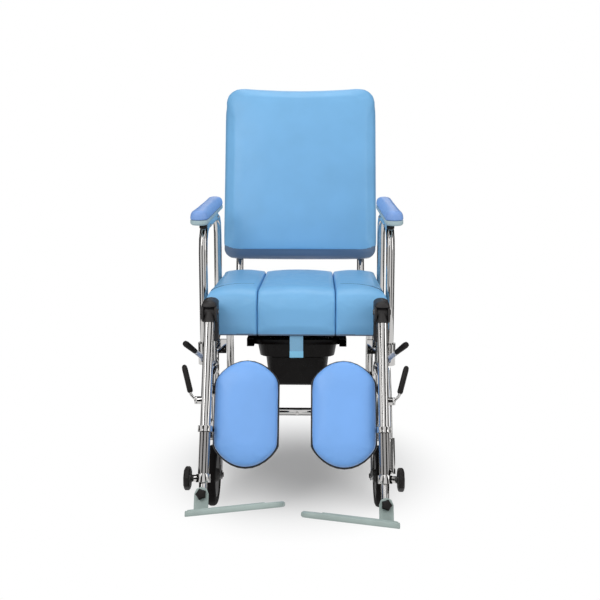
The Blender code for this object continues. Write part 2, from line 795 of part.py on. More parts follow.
def latch_grip():
    """Fat tapered grip over the lever's tang."""
    rise = Matrix.Rotation(LATCH_SLOPE, 4, "Z")
    start = 0.034 - 0.004 + FIT
    place = latch_place() @ ALONG_FRONT @ rise @ at(start, 0, 0.0045) @ Matrix.Rotation(math.radians(90), 4, "Y")
    radius = LATCH_GRIP_RADIUS
    length = LATCH_GRIP_LENGTH
    profile = [
        (radius * 0.72, 0),
        (radius * 0.8, 0.002),
        (radius * 0.95, length * 0.6),
        (radius, length * 0.8),
        (radius * 0.8, length * 0.95),
        (radius * 0.4, length),
    ]
    hole = cylinder(bore(0.0035, PIN_SIDES), -0.01, 0.019, Matrix.Identity(4), PIN_SIDES)
    return placed(cut(turned(profile), hole), place)


def knee_housing():
    """Moulded cap on the hanger post: socket, two cheeks round the tube's eye and a domed top."""
    post_y = HANGER_Y - KNEE_Y
    wall = HANGER_RADIUS + 0.003
    half = KNEE_SLOT_HALF + KNEE_CHEEK
    back = post_y + wall
    plan = rounded(
        [(half - 0.001, post_y - wall, 0.003), (half - 0.001, back, 0.008), (1 * (-half + 0.001), back, 0.008), (-half + 0.001, post_y - wall, 0.003)]
    )
    socket = stacked(plan, [(0.002, -0.078), (0, -0.074), (0, 0.010)])
    cheek_outline = rounded(
        [(-KNEE_RADIUS, -KNEE_RADIUS, KNEE_RADIUS * 0.9), (post_y, -0.034, 0.004), (post_y, 0.016, 0.002), (-KNEE_RADIUS, 0.016, 0.010)]
    )
    cheeks = []
    for side in (-1, 1):
        ends = sorted((side * KNEE_SLOT_HALF, side * half))
        cheeks.append(placed(stacked(cheek_outline, [(0, ends[0]), (0, ends[1])]), ALONG_X))
    top = rounded(
        [(half, -KNEE_RADIUS, 0.012), (half, back, 0.010), (-half, back, 0.010), (-half, -KNEE_RADIUS, 0.012)]
    )
    dome = stacked(top, [(0.0008, 0.0145), (0, 0.017), (0.002, 0.022), (0.007, 0.026), (0.013, 0.028)])
    post_hole = cylinder(bore(HANGER_RADIUS), -0.1, HANGER_TOP - KNEE_Z + FIT, at(0, post_y, 0))
    pin_hole = cylinder(bore(KNEE_PIN_RADIUS, PIN_SIDES), -0.03, 0.03, ALONG_X, PIN_SIDES)
    whole = cut(fused(socket, *cheeks, dome), post_hole, pin_hole)
    return placed(whole, Matrix.Translation(KNEE))


def strut(side):
    """Ratchet strut beside the legrest tube: sleeve, thin rod and curved upper rod."""
    angle = STRUT_ANGLE[side]
    away = Vector((math.cos(angle), math.sin(angle), 0))
    base = away * STRUT_OFFSET
    sleeve = cylinder(STRUT_RADIUS, -STRUT_SLEEVE_END, -STRUT_SLEEVE_START, Matrix.Translation(base), PIN_SIDES)
    points = [
        base + Vector((0, 0, -STRUT_SLEEVE_START - 0.01)),
        base + Vector((0, 0, -0.185)),
        base + Vector((0, 0.018, -0.128)),
    ]
    rod = tube(points, STRUT_ROD_RADIUS, (1, 0, 0), 0.05, 8)
    lugs = []
    for z in (-STRUT_SLEEVE_START - 0.006, -STRUT_SLEEVE_END + 0.006):
        lug = turned([(0.005, 0.004), (0.005, STRUT_OFFSET)], 8)
        lugs.append(placed(lug, at(0, 0, z) @ Matrix.Rotation(angle, 4, "Z") @ Matrix.Rotation(math.radians(90), 4, "Y")))
    return [sleeve, rod, *lugs]


def legrest_tube(side):
    """Hollow inclined tube with its knee eye and pin, clamp ring, release boss and strut."""
    main = cylinder(LEG_TUBE_RADIUS, -LEG_TUBE_LENGTH, 0, Matrix.Identity(4))
    eye = cylinder(LEG_TUBE_RADIUS + FIT, -KNEE_SLOT_HALF + 0.001, KNEE_SLOT_HALF - 0.001, ALONG_X)
    reach = KNEE_SLOT_HALF + KNEE_CHEEK + FIT
    pin = cylinder(KNEE_PIN_RADIUS, -reach - 0.001, reach + 0.001, ALONG_X, PIN_SIDES)
    heads = [cylinder(0.0065, sign * reach, sign * (reach + 0.0025), ALONG_X, PIN_SIDES) for sign in (-1, 1)]
    clamp = cylinder(CLAMP_RADIUS, -LEG_TUBE_LENGTH, -LEG_TUBE_LENGTH + CLAMP_LENGTH, Matrix.Identity(4))
    clamp_place = at(0, 0, -LEG_TUBE_LENGTH + CLAMP_LENGTH / 2) @ ALONG_X
    clamp_boss = cylinder(0.008, 0.013, CLAMP_BOSS_END, clamp_place)
    release_place = at(0, 0, -RELEASE_AT) @ ALONG_X
    release_boss = cylinder(RELEASE_BOSS_RADIUS, 0.006, RELEASE_BOSS_END, release_place)
    telescope = cylinder(bore(EXTENSION_RADIUS), -LEG_TUBE_LENGTH - 0.01, -EXTENSION_START + 0.035, Matrix.Identity(4))
    stud_hole = cylinder(bore(0.004, PIN_SIDES), 0.0145, CLAMP_BOSS_END + 0.01, clamp_place, PIN_SIDES)
    pivot_hole = cylinder(bore(0.003, PIN_SIDES), 0.0135, RELEASE_BOSS_END + 0.01, release_place, PIN_SIDES)
    welded = [eye, pin, *heads, clamp, clamp_boss, release_boss, *strut(side)]
    return placed(cut(fused(main, *welded), telescope, stud_hole, pivot_hole), LEG)


def clamp_knob():
    """Hand wheel with scalloped rim, neck and stud."""
    neck = CLAMP_BOSS_END + FIT
    wheel = neck + KNOB_NECK
    lobes = 8
    outline = []
    for k in range(lobes * 2):
        angle = 2 * math.pi * k / (lobes * 2)
        radius = KNOB_RADIUS - (0.0025 if k % 2 else 0.0)
        outline.append((radius * math.cos(angle), radius * math.sin(angle)))
    rings = [(0.004, wheel), (0, wheel + 0.004), (0, wheel + KNOB_THICKNESS - 0.004), (0.004, wheel + KNOB_THICKNESS)]
    disc = stacked(outline, rings)
    stem = turned([(0.0125, neck), (0.0125, wheel + 0.001)])
    stud = turned([(0.004, neck - 0.010), (0.004, neck + 0.001)], PIN_SIDES)
    place = LEG @ at(0, 0, -LEG_TUBE_LENGTH + CLAMP_LENGTH / 2) @ ALONG_X
    return placed(fused(disc, stem, stud), place)


def release_points():
    """Axis of the release lever's rod, from its pivot disc up to the end of the grip."""
    out = RELEASE_BOSS_END + 0.003
    return [Vector((out, 0, -RELEASE_AT)), Vector((out + 0.0125, 0, -RELEASE_AT + 0.012)), Vector((0.056, 0, -0.128))]


def release_lever():
    base = RELEASE_BOSS_END + FIT
    place = at(0, 0, -RELEASE_AT) @ ALONG_X
    disc = cylinder(RELEASE_BOSS_RADIUS, base, base + 0.006, place)
    stud = cylinder(0.003, base - 0.006, base + 0.002, place, PIN_SIDES)
    low, turn, high = release_points()
    rod = tube([low, turn, high - (high - turn).normalized() * 0.006], RELEASE_ROD_RADIUS, (0, 1, 0), 0.008, PIN_SIDES)
    return placed(fused(disc, stud, rod), LEG)


def release_grip():
    """Dipped plastic grip, blind at its top."""
    low, turn, high = release_points()
    along = (high - turn).normalized()
    start = turn + along * 0.006
    length = (high - start).length
    place = Matrix.Translation(start) @ along.to_track_quat("Z", "Y").to_matrix().to_4x4()
    radius = RELEASE_GRIP_RADIUS
    profile = [(radius * 0.75, 0), (radius, 0.004), (radius, length * 0.85), (radius * 0.85, length * 0.95), (radius * 0.4, length)]
    hole = cylinder(bore(RELEASE_ROD_RADIUS), -0.02, length - 0.006 + FIT, Matrix.Identity(4))
    return placed(cut(turned(profile), hole), LEG @ place)


def calf_outline(inset):
    """Straight sides, arched top and bottom, about the pad's centre."""
    half = CALF_HALF_WIDTH - inset
    height = CALF_HALF_HEIGHT - inset
    straight = height - CALF_ARCH
    outline = []
    steps = 10
    for sign in (1, -1):
        for k in range(steps + 1):
            share = math.pi * k / steps
            outline.append((sign * half * math.cos(share), sign * (straight + CALF_ARCH * math.sin(share) ** 0.7)))
    return outline


def calf_place():
    centre_x = -CALF_OUTER_X - CALF_HALF_WIDTH
    return LEG @ at(centre_x, CALF_FRONT_Y + CALF_THICKNESS, -CALF_AT) @ ALONG_FRONT


def calf_pad():
    thick = CALF_THICKNESS
    rings = [
        (0.003, 0),
        (0, 0.004),
        (0.001, thick * 0.4),
        (0.0, thick * 0.6),
        (0.005, thick - 0.006),
        (0.014, thick - 0.002),
        (0.035, thick),
    ]
    return placed(stacked(calf_outline(0), rings), calf_place())


def calf_pad_back():
    """Backing plate with its arm and the collar that turns on the legrest tube."""
    plate = placed(stacked(calf_outline(0.004), [(0, -FIT - CALF_BACK_THICKNESS), (0, -FIT)]), calf_place())
    z = -CALF_COLLAR_AT
    half = CALF_COLLAR_HEIGHT / 2
    ring = cylinder(CALF_COLLAR_RADIUS, z - half, z + half, Matrix.Identity(4))
    hole = cylinder(bore(LEG_TUBE_RADIUS), z - 0.02, z + 0.02, Matrix.Identity(4))
    x = -CALF_OUTER_X + CALF_ARM_RADIUS + 0.001
    y = CALF_FRONT_Y + CALF_THICKNESS + FIT + CALF_BACK_THICKNESS
    arm = tube([(x, 0.009, z), (x, y, z), (-CALF_OUTER_X - CALF_HALF_WIDTH, y, z)], CALF_ARM_RADIUS, (0, 0, 1), 0.008, 8)
    holder = placed(cut(fused(ring, arm), hole), LEG)
    return fused(holder, plate)


def extension_tube(side):
    """Inner tube with the footplate's eye at its foot."""
    reach = EXTENSION_REACH[side]
    inner = cylinder(EXTENSION_RADIUS, -reach, -EXTENSION_START, Matrix.Identity(4))
    place = at(0, 0, -reach) @ ALONG_FRONT
    eye = cylinder(EYE_RADIUS, -EYE_BACK, EYE_FRONT, place)
    hole = cylinder(bore(0.004, PIN_SIDES), EYE_FRONT - 0.012, EYE_FRONT + 0.01, place, PIN_SIDES)
    return placed(cut(fused(inner, eye), hole), LEG)


def foot_place(side):
    return LEG @ at(0, 0, -EXTENSION_REACH[side])


def footplate(side):
    """Plate with an upright ear in front of the extension's eye."""
    ear_start = EYE_FRONT + FIT
    ear_outline = rounded(
        [(-EAR_RADIUS, -FOOT_DROP - 0.006, 0.002), (EAR_RADIUS, -FOOT_DROP - 0.006, 0.002), (EAR_RADIUS, EAR_RADIUS, EAR_RADIUS * 0.95), (-EAR_RADIUS, EAR_RADIUS, EAR_RADIUS * 0.95)]
    )
    ear = placed(stacked(ear_outline, [(0, ear_start), (0, ear_start + EAR_THICKNESS)]), ALONG_FRONT)
    stud = cylinder(0.004, EYE_FRONT - 0.010, ear_start + 0.002, ALONG_FRONT, PIN_SIDES)
    plan = rounded(
        [
            (-FOOT_INNER, -FOOT_FRONT, FOOT_CORNER),
            (FOOT_OUTER, -FOOT_FRONT, FOOT_CORNER),
            (FOOT_OUTER, -FOOT_HEEL, FOOT_CORNER),
            (-FOOT_INNER, -FOOT_HEEL, FOOT_CORNER),
        ],
        4,
    )
    low = -FOOT_DROP - FOOT_THICKNESS
    plate = stacked(plan, [(0.003, low), (0, low + 0.003), (0, -FOOT_DROP - 0.003), (0.003, -FOOT_DROP)])
    rolled = Matrix.Rotation(FOOT_ROLL, 4, "Y")
    plate = placed(plate, at(0, 0, -FOOT_DROP) @ rolled @ at(0, 0, FOOT_DROP))
    hole = cylinder(bore(0.003, PIN_SIDES), ear_start + 0.003, ear_start + EAR_THICKNESS + 0.01, ALONG_FRONT, PIN_SIDES)
    return placed(cut(fused(plate, ear, stud), hole), foot_place(side))


def footplate_knob(side):
    """Five-lobed star knob on the ear."""
    start = EYE_FRONT + FIT + EAR_THICKNESS + FIT
    lobes = 5
    outline = []
    for k in range(lobes * 2):
        angle = 2 * math.pi * k / (lobes * 2)
        radius = STAR_RADIUS * (0.88 + 0.12 * math.cos(lobes * angle))
        outline.append((radius * math.cos(angle), radius * math.sin(angle)))
    rings = [(0.002, start), (0, start + 0.003), (0, start + STAR_THICKNESS - 0.003), (0.003, start + STAR_THICKNESS)]
    stud = turned([(0.003, start - 0.003), (0.003, start + 0.001)], PIN_SIDES)
    return placed(fused(stacked(outline, rings), stud), foot_place(side) @ ALONG_FRONT)


# Casters: built round the stem's axis with the wheel trailing along +Y, then turned to their rest

def fork(braked):
    """Crown, stem, two legs and the axle; a braked fork also has ears for its pedal."""
    top = LEG_BOTTOM - FIT
    under = top - FORK_CROWN
    outer = FORK_GAP + FORK_WALL
    crown_plan = rounded([(outer, -0.018, 0.012), (outer, TRAIL * 0.6, 0.004), (-outer, TRAIL * 0.6, 0.004), (-outer, -0.018, 0.012)])
    crown = stacked(crown_plan, [(0, under), (0, top)])
    stem = turned([(STEM_RADIUS, top - 0.002), (STEM_RADIUS, LEG_BOTTOM + STEM_LENGTH)])
    leg = [(-0.012, top - 0.001, 0.002), (TRAIL - 0.013, AXLE_Z - 0.013, 0.012), (TRAIL + 0.013, AXLE_Z - 0.013, 0.012), (TRAIL * 0.6, top - 0.001, 0.002)]
    if braked:
        ear = 0.007
        leg[3:] = [(TRAIL + 0.016, AXLE_Z + 0.035, 0.006), (PEDAL_Y + ear, PEDAL_Z - ear, ear * 0.9), (PEDAL_Y + ear, PEDAL_Z + ear, ear * 0.9), (TRAIL * 0.6, top - 0.001, 0.002)]
    legs = []
    for side in (-1, 1):
        ends = sorted((side * FORK_GAP, side * outer))
        legs.append(placed(stacked(rounded(leg), [(0, ends[0]), (0, ends[1])]), ALONG_X))
    axle_place = at(0, TRAIL, AXLE_Z) @ ALONG_X
    axle = cylinder(AXLE_RADIUS, -outer - 0.001, outer + 0.001, axle_place, PIN_SIDES)
    caps = [cylinder(0.008, sign * (outer - 0.0005), sign * (outer + 0.002), axle_place, PIN_SIDES) for sign in (-1, 1)]
    pieces = [crown, stem, *legs, axle, *caps]
    if braked:
        pieces.append(cylinder(0.003, -outer + 0.001, outer - 0.001, at(0, PEDAL_Y, PEDAL_Z) @ ALONG_X, PIN_SIDES))
    return fused(*pieces)


def tyre():
    inner = WHEEL_RADIUS - TYRE_DEPTH
    half = TYRE_HALF_WIDTH
    side = [(inner, half - 0.001), (WHEEL_RADIUS - 0.008, half), (WHEEL_RADIUS - 0.0025, half - 0.0025), (WHEEL_RADIUS, half - 0.008)]
    profile = [(radius, -x) for radius, x in side] + side[::-1]
    return placed(turned(profile, WHEEL_SIDES, True), at(0, TRAIL, AXLE_Z) @ ALONG_X)


def hub():
    hole = bore(AXLE_RADIUS)
    rim = WHEEL_RADIUS - TYRE_DEPTH - FIT
    half = HUB_HALF_WIDTH
    side = [(hole, half), (0.015, half), (0.018, half - 0.008), (rim, half - 0.0045)]
    profile = [(radius, -x) for radius, x in side] + side[::-1]
    return placed(turned(profile, WHEEL_SIDES, True), at(0, TRAIL, AXLE_Z) @ ALONG_X)


def brake_pedal():
    """Foot lever between the fork's ears, with a nose over the tyre."""
    barrel = 0.0068
    outline = [
        (PEDAL_Y - 0.005, PEDAL_Z - 0.0105, 0.002),
        (PEDAL_Y + barrel, PEDAL_Z - barrel, 0.004),
        (PEDAL_Y + PEDAL_LENGTH, PEDAL_Z + 0.012, 0.002),
        (PEDAL_Y + PEDAL_LENGTH - 0.003, PEDAL_Z + 0.017, 0.002),
        (PEDAL_Y, PEDAL_Z + barrel, 0.006),
        (PEDAL_Y - barrel - 0.002, PEDAL_Z, 0.003),
    ]
    half = FORK_GAP - 0.001
    lever = placed(stacked(rounded(outline), [(0, -half), (0, half)]), ALONG_X)
    hole = cylinder(bore(0.003, PIN_SIDES), -half - 0.01, half + 0.01, at(0, PEDAL_Y, PEDAL_Z) @ ALONG_X, PIN_SIDES)
    return cut(lever, hole)


# Assembly

def build():
    for old in list(bpy.data.objects):
        bpy.data.objects.remove(old)
    chrome = material("chrome", (0.72, 0.73, 0.75), 0.15, 1.0)
    steel = material("brushed_steel", (0.55, 0.56, 0.58), 0.35, 1.0)
    seat_vinyl = material("blue_vinyl", (0.18, 0.45, 0.80), 0.4)
    pad_vinyl = material("pad_vinyl", (0.27, 0.42, 0.85), 0.4)
    pale = material("pale_plastic", (0.45, 0.58, 0.60), 0.5)
    mint = material("footplate_plastic", (0.58, 0.73, 0.70), 0.45)
    black = material("black_plastic", (0.025, 0.023, 0.022), 0.4)
    rubber = material("tyre_rubber", (0.06, 0.06, 0.065), 0.7)
    grey = material("hub_plastic", (0.35, 0.36, 0.38), 0.5)
    webbing = material("strap_webbing", (0.12, 0.35, 0.75), 0.8)

    chair = body("chair", (0, 0, 0), None)
    for side, name in SIDES.items():
        frame = side_frame()
        if side > 0:
            frame = cut(frame, recline_socket_cutter())
        part("side_frame_" + name, frame, chrome, chair, side)
        inner = SEAT_CENTRE_HALF + SEAT_SEAM
        part("seat_cushion_" + name, seat_block(inner, SEAT_HALF_WIDTH), seat_vinyl, chair, side)
    part("lower_cross_tube", lower_cross_tube(), chrome, chair)
    part("seat_frame", seat_frame(), steel, chair)

    hinge = (0, HINGE_Y, HINGE_Z)
    backrest = body("backrest", hinge, chair)
    part("backrest_frame", backrest_frame(), chrome, backrest)
    part("backrest_cushion", backrest_cushion(), seat_vinyl, backrest)
    for side, name in SIDES.items():
        part("push_grip_" + name, push_grip(), black, backrest, side)
    lever = body("recline_lever", (SIDE_X, HINGE_Y, HINGE_Z), chair)
    part("recline_lever", recline_lever(), black, lever)

    centre = body("seat_centre", SEAT @ Vector((0, SEAT_DEPTH / 2, 0)), chair)
    part("seat_centre_cushion", seat_block(-SEAT_CENTRE_HALF, SEAT_CENTRE_HALF), seat_vinyl, centre)
    part("pull_strap", pull_strap(), webbing, centre)
    pan = body("pan", SEAT @ Vector((0, PAN_CENTRE_Y, -SEAT_BAR_DEPTH)), chair)
    part("commode_pan", commode_pan(), black, pan)

    for side, name in SIDES.items():
        arm = body("armrest_" + name, (ARM_X, ARM_FRONT_Y, ARM_SOCKET_LOW), chair, side)
        part("armrest_frame_" + name, armrest_frame(), chrome, arm, side)
        part("armrest_base_" + name, armrest_base(), pale, arm, side)
        part("armrest_pad_" + name, armrest_pad(), pad_vinyl, arm, side)
        legrest_parts(side, name, chair, chrome, steel, black, pad_vinyl, mint)
        caster_parts("front_", side, name, FRONT_LEG_Y, math.pi, chair, steel, rubber, grey, black)
        caster_parts("rear_", side, name, REAR_LEG_Y, 0.0, chair, steel, rubber, grey, black)
    centre_footprint(chair)


def legrest_parts(side, name, chair, chrome, steel, black, pad_vinyl, mint):
    swing = body("hanger_" + name, (LEG_X, HANGER_Y, COLLAR_LOW_Z), chair, side)
    part("hanger_" + name, hanger(), chrome, swing, side)
    part("knee_housing_" + name, knee_housing(), black, swing, side)
    latch = body("latch_" + name, latch_place().translation, swing, side)
    part("latch_lever_" + name, latch_lever(), steel, latch, side)
    part("latch_grip_" + name, latch_grip(), black, latch, side)
    legrest = body("legrest_" + name, KNEE, swing, side)
    part("legrest_tube_" + name, legrest_tube(side), chrome, legrest, side)
    release = body("release_" + name, LEG @ Vector((RELEASE_BOSS_END, 0, -RELEASE_AT)), legrest, side)
    part("release_lever_" + name, release_lever(), chrome, release, side)
    part("release_grip_" + name, release_grip(), black, release, side)
    calf = body("calf_" + name, LEG @ Vector((0, 0, -CALF_COLLAR_AT)), legrest, side)
    part("calf_pad_" + name, calf_pad(), pad_vinyl, calf, side)
    part("calf_pad_back_" + name, calf_pad_back(), black, calf, side)
    clamp_z = -LEG_TUBE_LENGTH + CLAMP_LENGTH / 2
    knob = body("clamp_knob_" + name, LEG @ Vector((CLAMP_BOSS_END, 0, clamp_z)), legrest, side)
    part("clamp_knob_" + name, clamp_knob(), black, knob, side)
    slide = body("extension_" + name, LEG @ Vector((0, 0, -LEG_TUBE_LENGTH)), legrest, side)
    part("extension_tube_" + name, extension_tube(side), chrome, slide, side)
    pivot = foot_place(side) @ Vector((0, -EYE_FRONT, 0))
    foot = body("footplate_" + name, pivot, slide, side)
    part("footplate_" + name, footplate(side), mint, foot, side)
    star = body("footplate_knob_" + name, foot_place(side) @ Vector((0, -EYE_FRONT - EAR_THICKNESS, 0)), foot, side)
    part("footplate_knob_" + name, footplate_knob(side), black, star, side)


def caster_parts(row, side, name, leg_y, heading, chair, steel, rubber, grey, black):
    place = at(SIDE_X, leg_y, 0) @ Matrix.Rotation(heading, 4, "Z")
    braked = row == "rear_"
    swivel = body(row + "swivel_" + name, place @ Vector((0, 0, LEG_BOTTOM)), chair, side)
    part(row + "fork_" + name, placed(fork(braked), place), steel, swivel, side)
    wheel = body(row + "wheel_" + name, place @ Vector((0, TRAIL, AXLE_Z)), swivel, side)
    part(row + "tyre_" + name, placed(tyre(), place), rubber, wheel, side)
    part(row + "hub_" + name, placed(hub(), place), grey, wheel, side)
    if braked:
        pedal = body("brake_pedal_" + name, place @ Vector((0, PEDAL_Y, PEDAL_Z)), swivel, side)
        part("brake_pedal_" + name, placed(brake_pedal(), place), black, pedal, side)


def centre_footprint(chair):
    """Moves the chair so that its origin is under the middle of its length."""
    bpy.context.view_layer.update()
    depths = []
    for obj in bpy.data.objects:
        if obj.type == "MESH":
            depths += [(obj.matrix_world @ vertex.co).y for vertex in obj.data.vertices]
    chair.location.y = -(min(depths) + max(depths)) / 2
    bpy.context.view_layer.update()


build()
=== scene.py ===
# %% [markdown]
# # A reclining commode wheelchair
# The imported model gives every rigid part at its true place. This lesson dresses it: the cushions
# are blown up as real upholstery, the tubes are polished, and the small fasteners are added.

# %% Load the frame
import json
import math

import bmesh
import bpy
import numpy as np
from mathutils import Matrix, Vector


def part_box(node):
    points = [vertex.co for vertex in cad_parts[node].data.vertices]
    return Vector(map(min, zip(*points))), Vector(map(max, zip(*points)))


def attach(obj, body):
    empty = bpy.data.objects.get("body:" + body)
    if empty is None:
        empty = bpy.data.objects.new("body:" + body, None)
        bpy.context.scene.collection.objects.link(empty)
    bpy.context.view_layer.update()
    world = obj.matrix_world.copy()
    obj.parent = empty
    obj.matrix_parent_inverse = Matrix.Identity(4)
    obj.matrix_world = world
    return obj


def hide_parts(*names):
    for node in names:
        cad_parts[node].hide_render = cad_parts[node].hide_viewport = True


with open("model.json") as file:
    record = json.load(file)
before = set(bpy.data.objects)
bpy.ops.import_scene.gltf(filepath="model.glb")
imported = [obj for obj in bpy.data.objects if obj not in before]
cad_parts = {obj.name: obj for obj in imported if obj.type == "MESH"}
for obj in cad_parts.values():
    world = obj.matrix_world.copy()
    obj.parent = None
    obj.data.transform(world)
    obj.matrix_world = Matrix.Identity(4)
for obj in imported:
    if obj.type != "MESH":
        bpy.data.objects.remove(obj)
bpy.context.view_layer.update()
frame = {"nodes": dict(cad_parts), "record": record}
nodes = frame["nodes"]
record = frame["record"]
body_of_node = {}
for body, members in record["behaviour"]["bodies"].items():
    body_of_node.update(dict.fromkeys(members, body))
slot_of_node = {row["node"]: row["material_slot"] for row in record["subparts"]}

# %% [markdown]
# ## The planes that the chair is built on
# The seat tips back a little, the backrest leans from its hinge and each legrest slopes from its
# knee. Each plane is a matrix, so a detail can be placed in the plane's own plain numbers.

# %% Planes of the seat, backrest and legrests
SEAT_FRONT_Y = -0.1859


def tilted(x, y, z, degrees):
    """A plane at a place behind the seat's front edge, tipped back about the X axis."""
    tip = Matrix.Rotation(math.radians(-degrees), 4, "X")
    return Matrix.Translation((x, SEAT_FRONT_Y + y, z)) @ tip


SEAT_PLANE = tilted(0, 0, 0.427, 3.5)
BACK_PLANE = tilted(0, 0.47, 0.385, 15)
LEG_PLANE = tilted(0.206, -0.062, 0.505, 25)
PLAIN = Matrix.Identity(4)
SIDES = {"left": Matrix.Scale(-1, 4, (1, 0, 0)), "right": PLAIN}
SIGNS = {"left": -1, "right": 1}
scene = bpy.context.scene


def linked(name, data):
    """A new object of the scene with the data."""
    thing = bpy.data.objects.new(name, data)
    scene.collection.objects.link(thing)
    return thing


print("seat plane at", tuple(round(v, 3) for v in SEAT_PLANE.translation))

# %% [markdown]
# ## Camera
# The photograph is taken from the front, level with the upper part of the backrest and a little to
# the right. The camera looks down a few degrees, and a small shift keeps the chair in the middle.

# %% Camera
CAMERA_LENS = 52.8
CAMERA_SHIFT = -0.113
CAMERA_PLACE = (0.05, SEAT_FRONT_Y - 2.12, 0.987)
CAMERA_PITCH = math.radians(8)
CAMERA_YAW = math.radians(1.1)
camera_data = bpy.data.cameras.new("camera")
camera_data.lens = CAMERA_LENS
camera_data.shift_y = CAMERA_SHIFT
camera = linked("camera", camera_data)
camera.location = CAMERA_PLACE
camera.rotation_euler = (math.radians(90) - CAMERA_PITCH, 0, CAMERA_YAW)
scene.camera = camera
print("camera looks from", CAMERA_PLACE)

# %% [markdown]
# ## Studio
# The chair stands on a white sweep under soft boxes. The world is white to the camera and to
# reflections, and a little dimmer as light.

# %% World
WORLD_LIGHT = 0.66
scene.view_settings.view_transform = "Standard"
world = bpy.data.worlds.new("studio")
scene.world = world
world.use_nodes = True
background = world.node_tree.nodes["Background"]
background.inputs["Color"].default_value = (1, 1, 1, 1)


def add(tree, kind, inputs, **settings):
    """A new node. Each input gets a value, or is joined to the output of another node."""
    node = tree.nodes.new(kind)
    for key, value in settings.items():
        setattr(node, key, value)
    for key, value in inputs.items():
        if isinstance(value, bpy.types.NodeSocket):
            tree.links.new(value, node.inputs[key])
        else:
            node.inputs[key].default_value = value
    return node


def seen_by_eye_or_mirror(tree):
    """An output that is 1 for the camera and for reflections, and 0 for plain light."""
    path = add(tree, "ShaderNodeLightPath", {}).outputs
    rays = {0: path["Is Camera Ray"], 1: path["Is Glossy Ray"]}
    first = add(tree, "ShaderNodeMath", rays, operation="MAXIMUM")
    rays = {0: first.outputs[0], 1: path["Is Transmission Ray"]}
    return add(tree, "ShaderNodeMath", rays, operation="MAXIMUM").outputs[0]


seen = seen_by_eye_or_mirror(world.node_tree)
levels = {"Value": seen, "To Min": WORLD_LIGHT, "To Max": 1.0}
strength = add(world.node_tree, "ShaderNodeMapRange", levels)
world.node_tree.links.new(strength.outputs["Result"], background.inputs["Strength"])
print("world light", WORLD_LIGHT)

# %% [markdown]
# The floor is a grey matt near the chair, where its shadow falls, and fades to plain white further
# out, so no horizon shows. The grey and its fade round the shadow's middle paint a darker pool
# under
# the chair on top of the real shadow: painted shadow. The fade works on the eye and on reflections
# only: as a source of light the floor is an ordinary pale surface.

# %% Floor
FLOOR_REACH = 30
# Grey of the matt floor near the chair, darker than the white round it: partly painted shadow.
FLOOR_COLOUR = (0.76, 0.76, 0.76, 1)
SHADOW_MIDDLE = (0, 0.04, 0)
SHADOW_REACH = 0.06
FADE_REACH = 0.47


def flat_card(name, corners, colour):
    """A single-faced card of the studio, with a plain matt finish."""
    mesh = bpy.data.meshes.new(name)
    mesh.from_pydata(corners, [], [(0, 1, 2, 3)])
    finish = bpy.data.materials.new(name)
    finish.use_nodes = True
    shader = finish.node_tree.nodes["Principled BSDF"]
    shader.inputs["Base Color"].default_value = colour
    shader.inputs["Roughness"].default_value = 0.9
    shader.inputs["Specular IOR Level"].default_value = 0.0
    mesh.materials.append(finish)
    card = linked(name, mesh)
    return card


def faded_to_white(card):
    """Turns the card white to the eye, away from a grey pool of painted shadow."""
    tree = card.data.materials[0].node_tree
    ends = {0: add(tree, "ShaderNodeTexCoord", {}).outputs["Object"], 1: SHADOW_MIDDLE}
    length = add(tree, "ShaderNodeVectorMath", ends, operation="DISTANCE")
    fade = {"Value": length.outputs["Value"], "From Min": SHADOW_REACH, "From Max": FADE_REACH}
    far = add(tree, "ShaderNodeMapRange", fade, interpolation_type="SMOOTHSTEP")
    both = {0: far.outputs["Result"], 1: seen_by_eye_or_mirror(tree)}
    share = add(tree, "ShaderNodeMath", both, operation="MULTIPLY")
    matt = tree.nodes["Principled BSDF"].outputs["BSDF"]
    white = add(tree, "ShaderNodeEmission", {}).outputs["Emission"]
    mix = add(tree, "ShaderNodeMixShader", {"Fac": share.outputs[0], 1: matt, 2: white})
    tree.links.new(mix.outputs["Shader"], tree.nodes["Material Output"].inputs["Surface"])


ROUND_THE_FLOOR = ((-1, -1), (1, -1), (1, 1), (-1, 1))
corners = [(x * FLOOR_REACH, y * FLOOR_REACH, 0) for x, y in ROUND_THE_FLOOR]
faded_to_white(flat_card("studio_floor", corners, FLOOR_COLOUR))
print("floor fades from", SHADOW_REACH, "to", FADE_REACH, "m")

# %% [markdown]
# Polished tubes only look like metal when they have something dark to mirror. Dark flags stand
# round the set, and only reflections can see them. Each is given by the floor places of its two
# ends and its grey.

# %% Flags and soft boxes
FLAG_HEIGHT = 3.2
FLAGS = {
    "flag_front_left": (-0.50, -1.75, -1.05, -1.35, 0.012),
    "flag_front_right": (0.80, -1.70, 1.30, -1.20, 0.06),
    "flag_side_left": (-1.50, -0.45, -1.50, 0.25, 0.05),
    "flag_side_right": (1.50, -0.40, 1.50, 0.10, 0.10),
    "flag_rear_left": (-1.45, 0.35, -0.45, 1.35, 0.012),
    "flag_rear_right": (1.45, 0.25, 0.45, 1.35, 0.012),
}


def dark_card(name, start_x, start_y, end_x, end_y, grey):
    """A dark flag beside the set, seen in polished metal and nowhere else."""
    ends = [(start_x, start_y), (end_x, end_y)]
    corners = [(*ends[0], 0), (*ends[1], 0), (*ends[1], FLAG_HEIGHT), (*ends[0], FLAG_HEIGHT)]
    card = flat_card(name, corners, (grey, grey, grey, 1))
    card.visible_camera = False
    card.visible_diffuse = False
    card.visible_shadow = False


for name, numbers in FLAGS.items():
    dark_card(name, *numbers)


def soft_box(name, place, size, power):
    """A square lamp that looks at the middle of the chair."""
    lamp = bpy.data.lights.new(name, "AREA")
    lamp.shape = "SQUARE"
    lamp.size = size
    lamp.energy = power
    box = linked(name, lamp)
    box.location = place
    box.rotation_euler = (CHAIR_MIDDLE - Vector(place)).to_track_quat("-Z", "Y").to_euler()


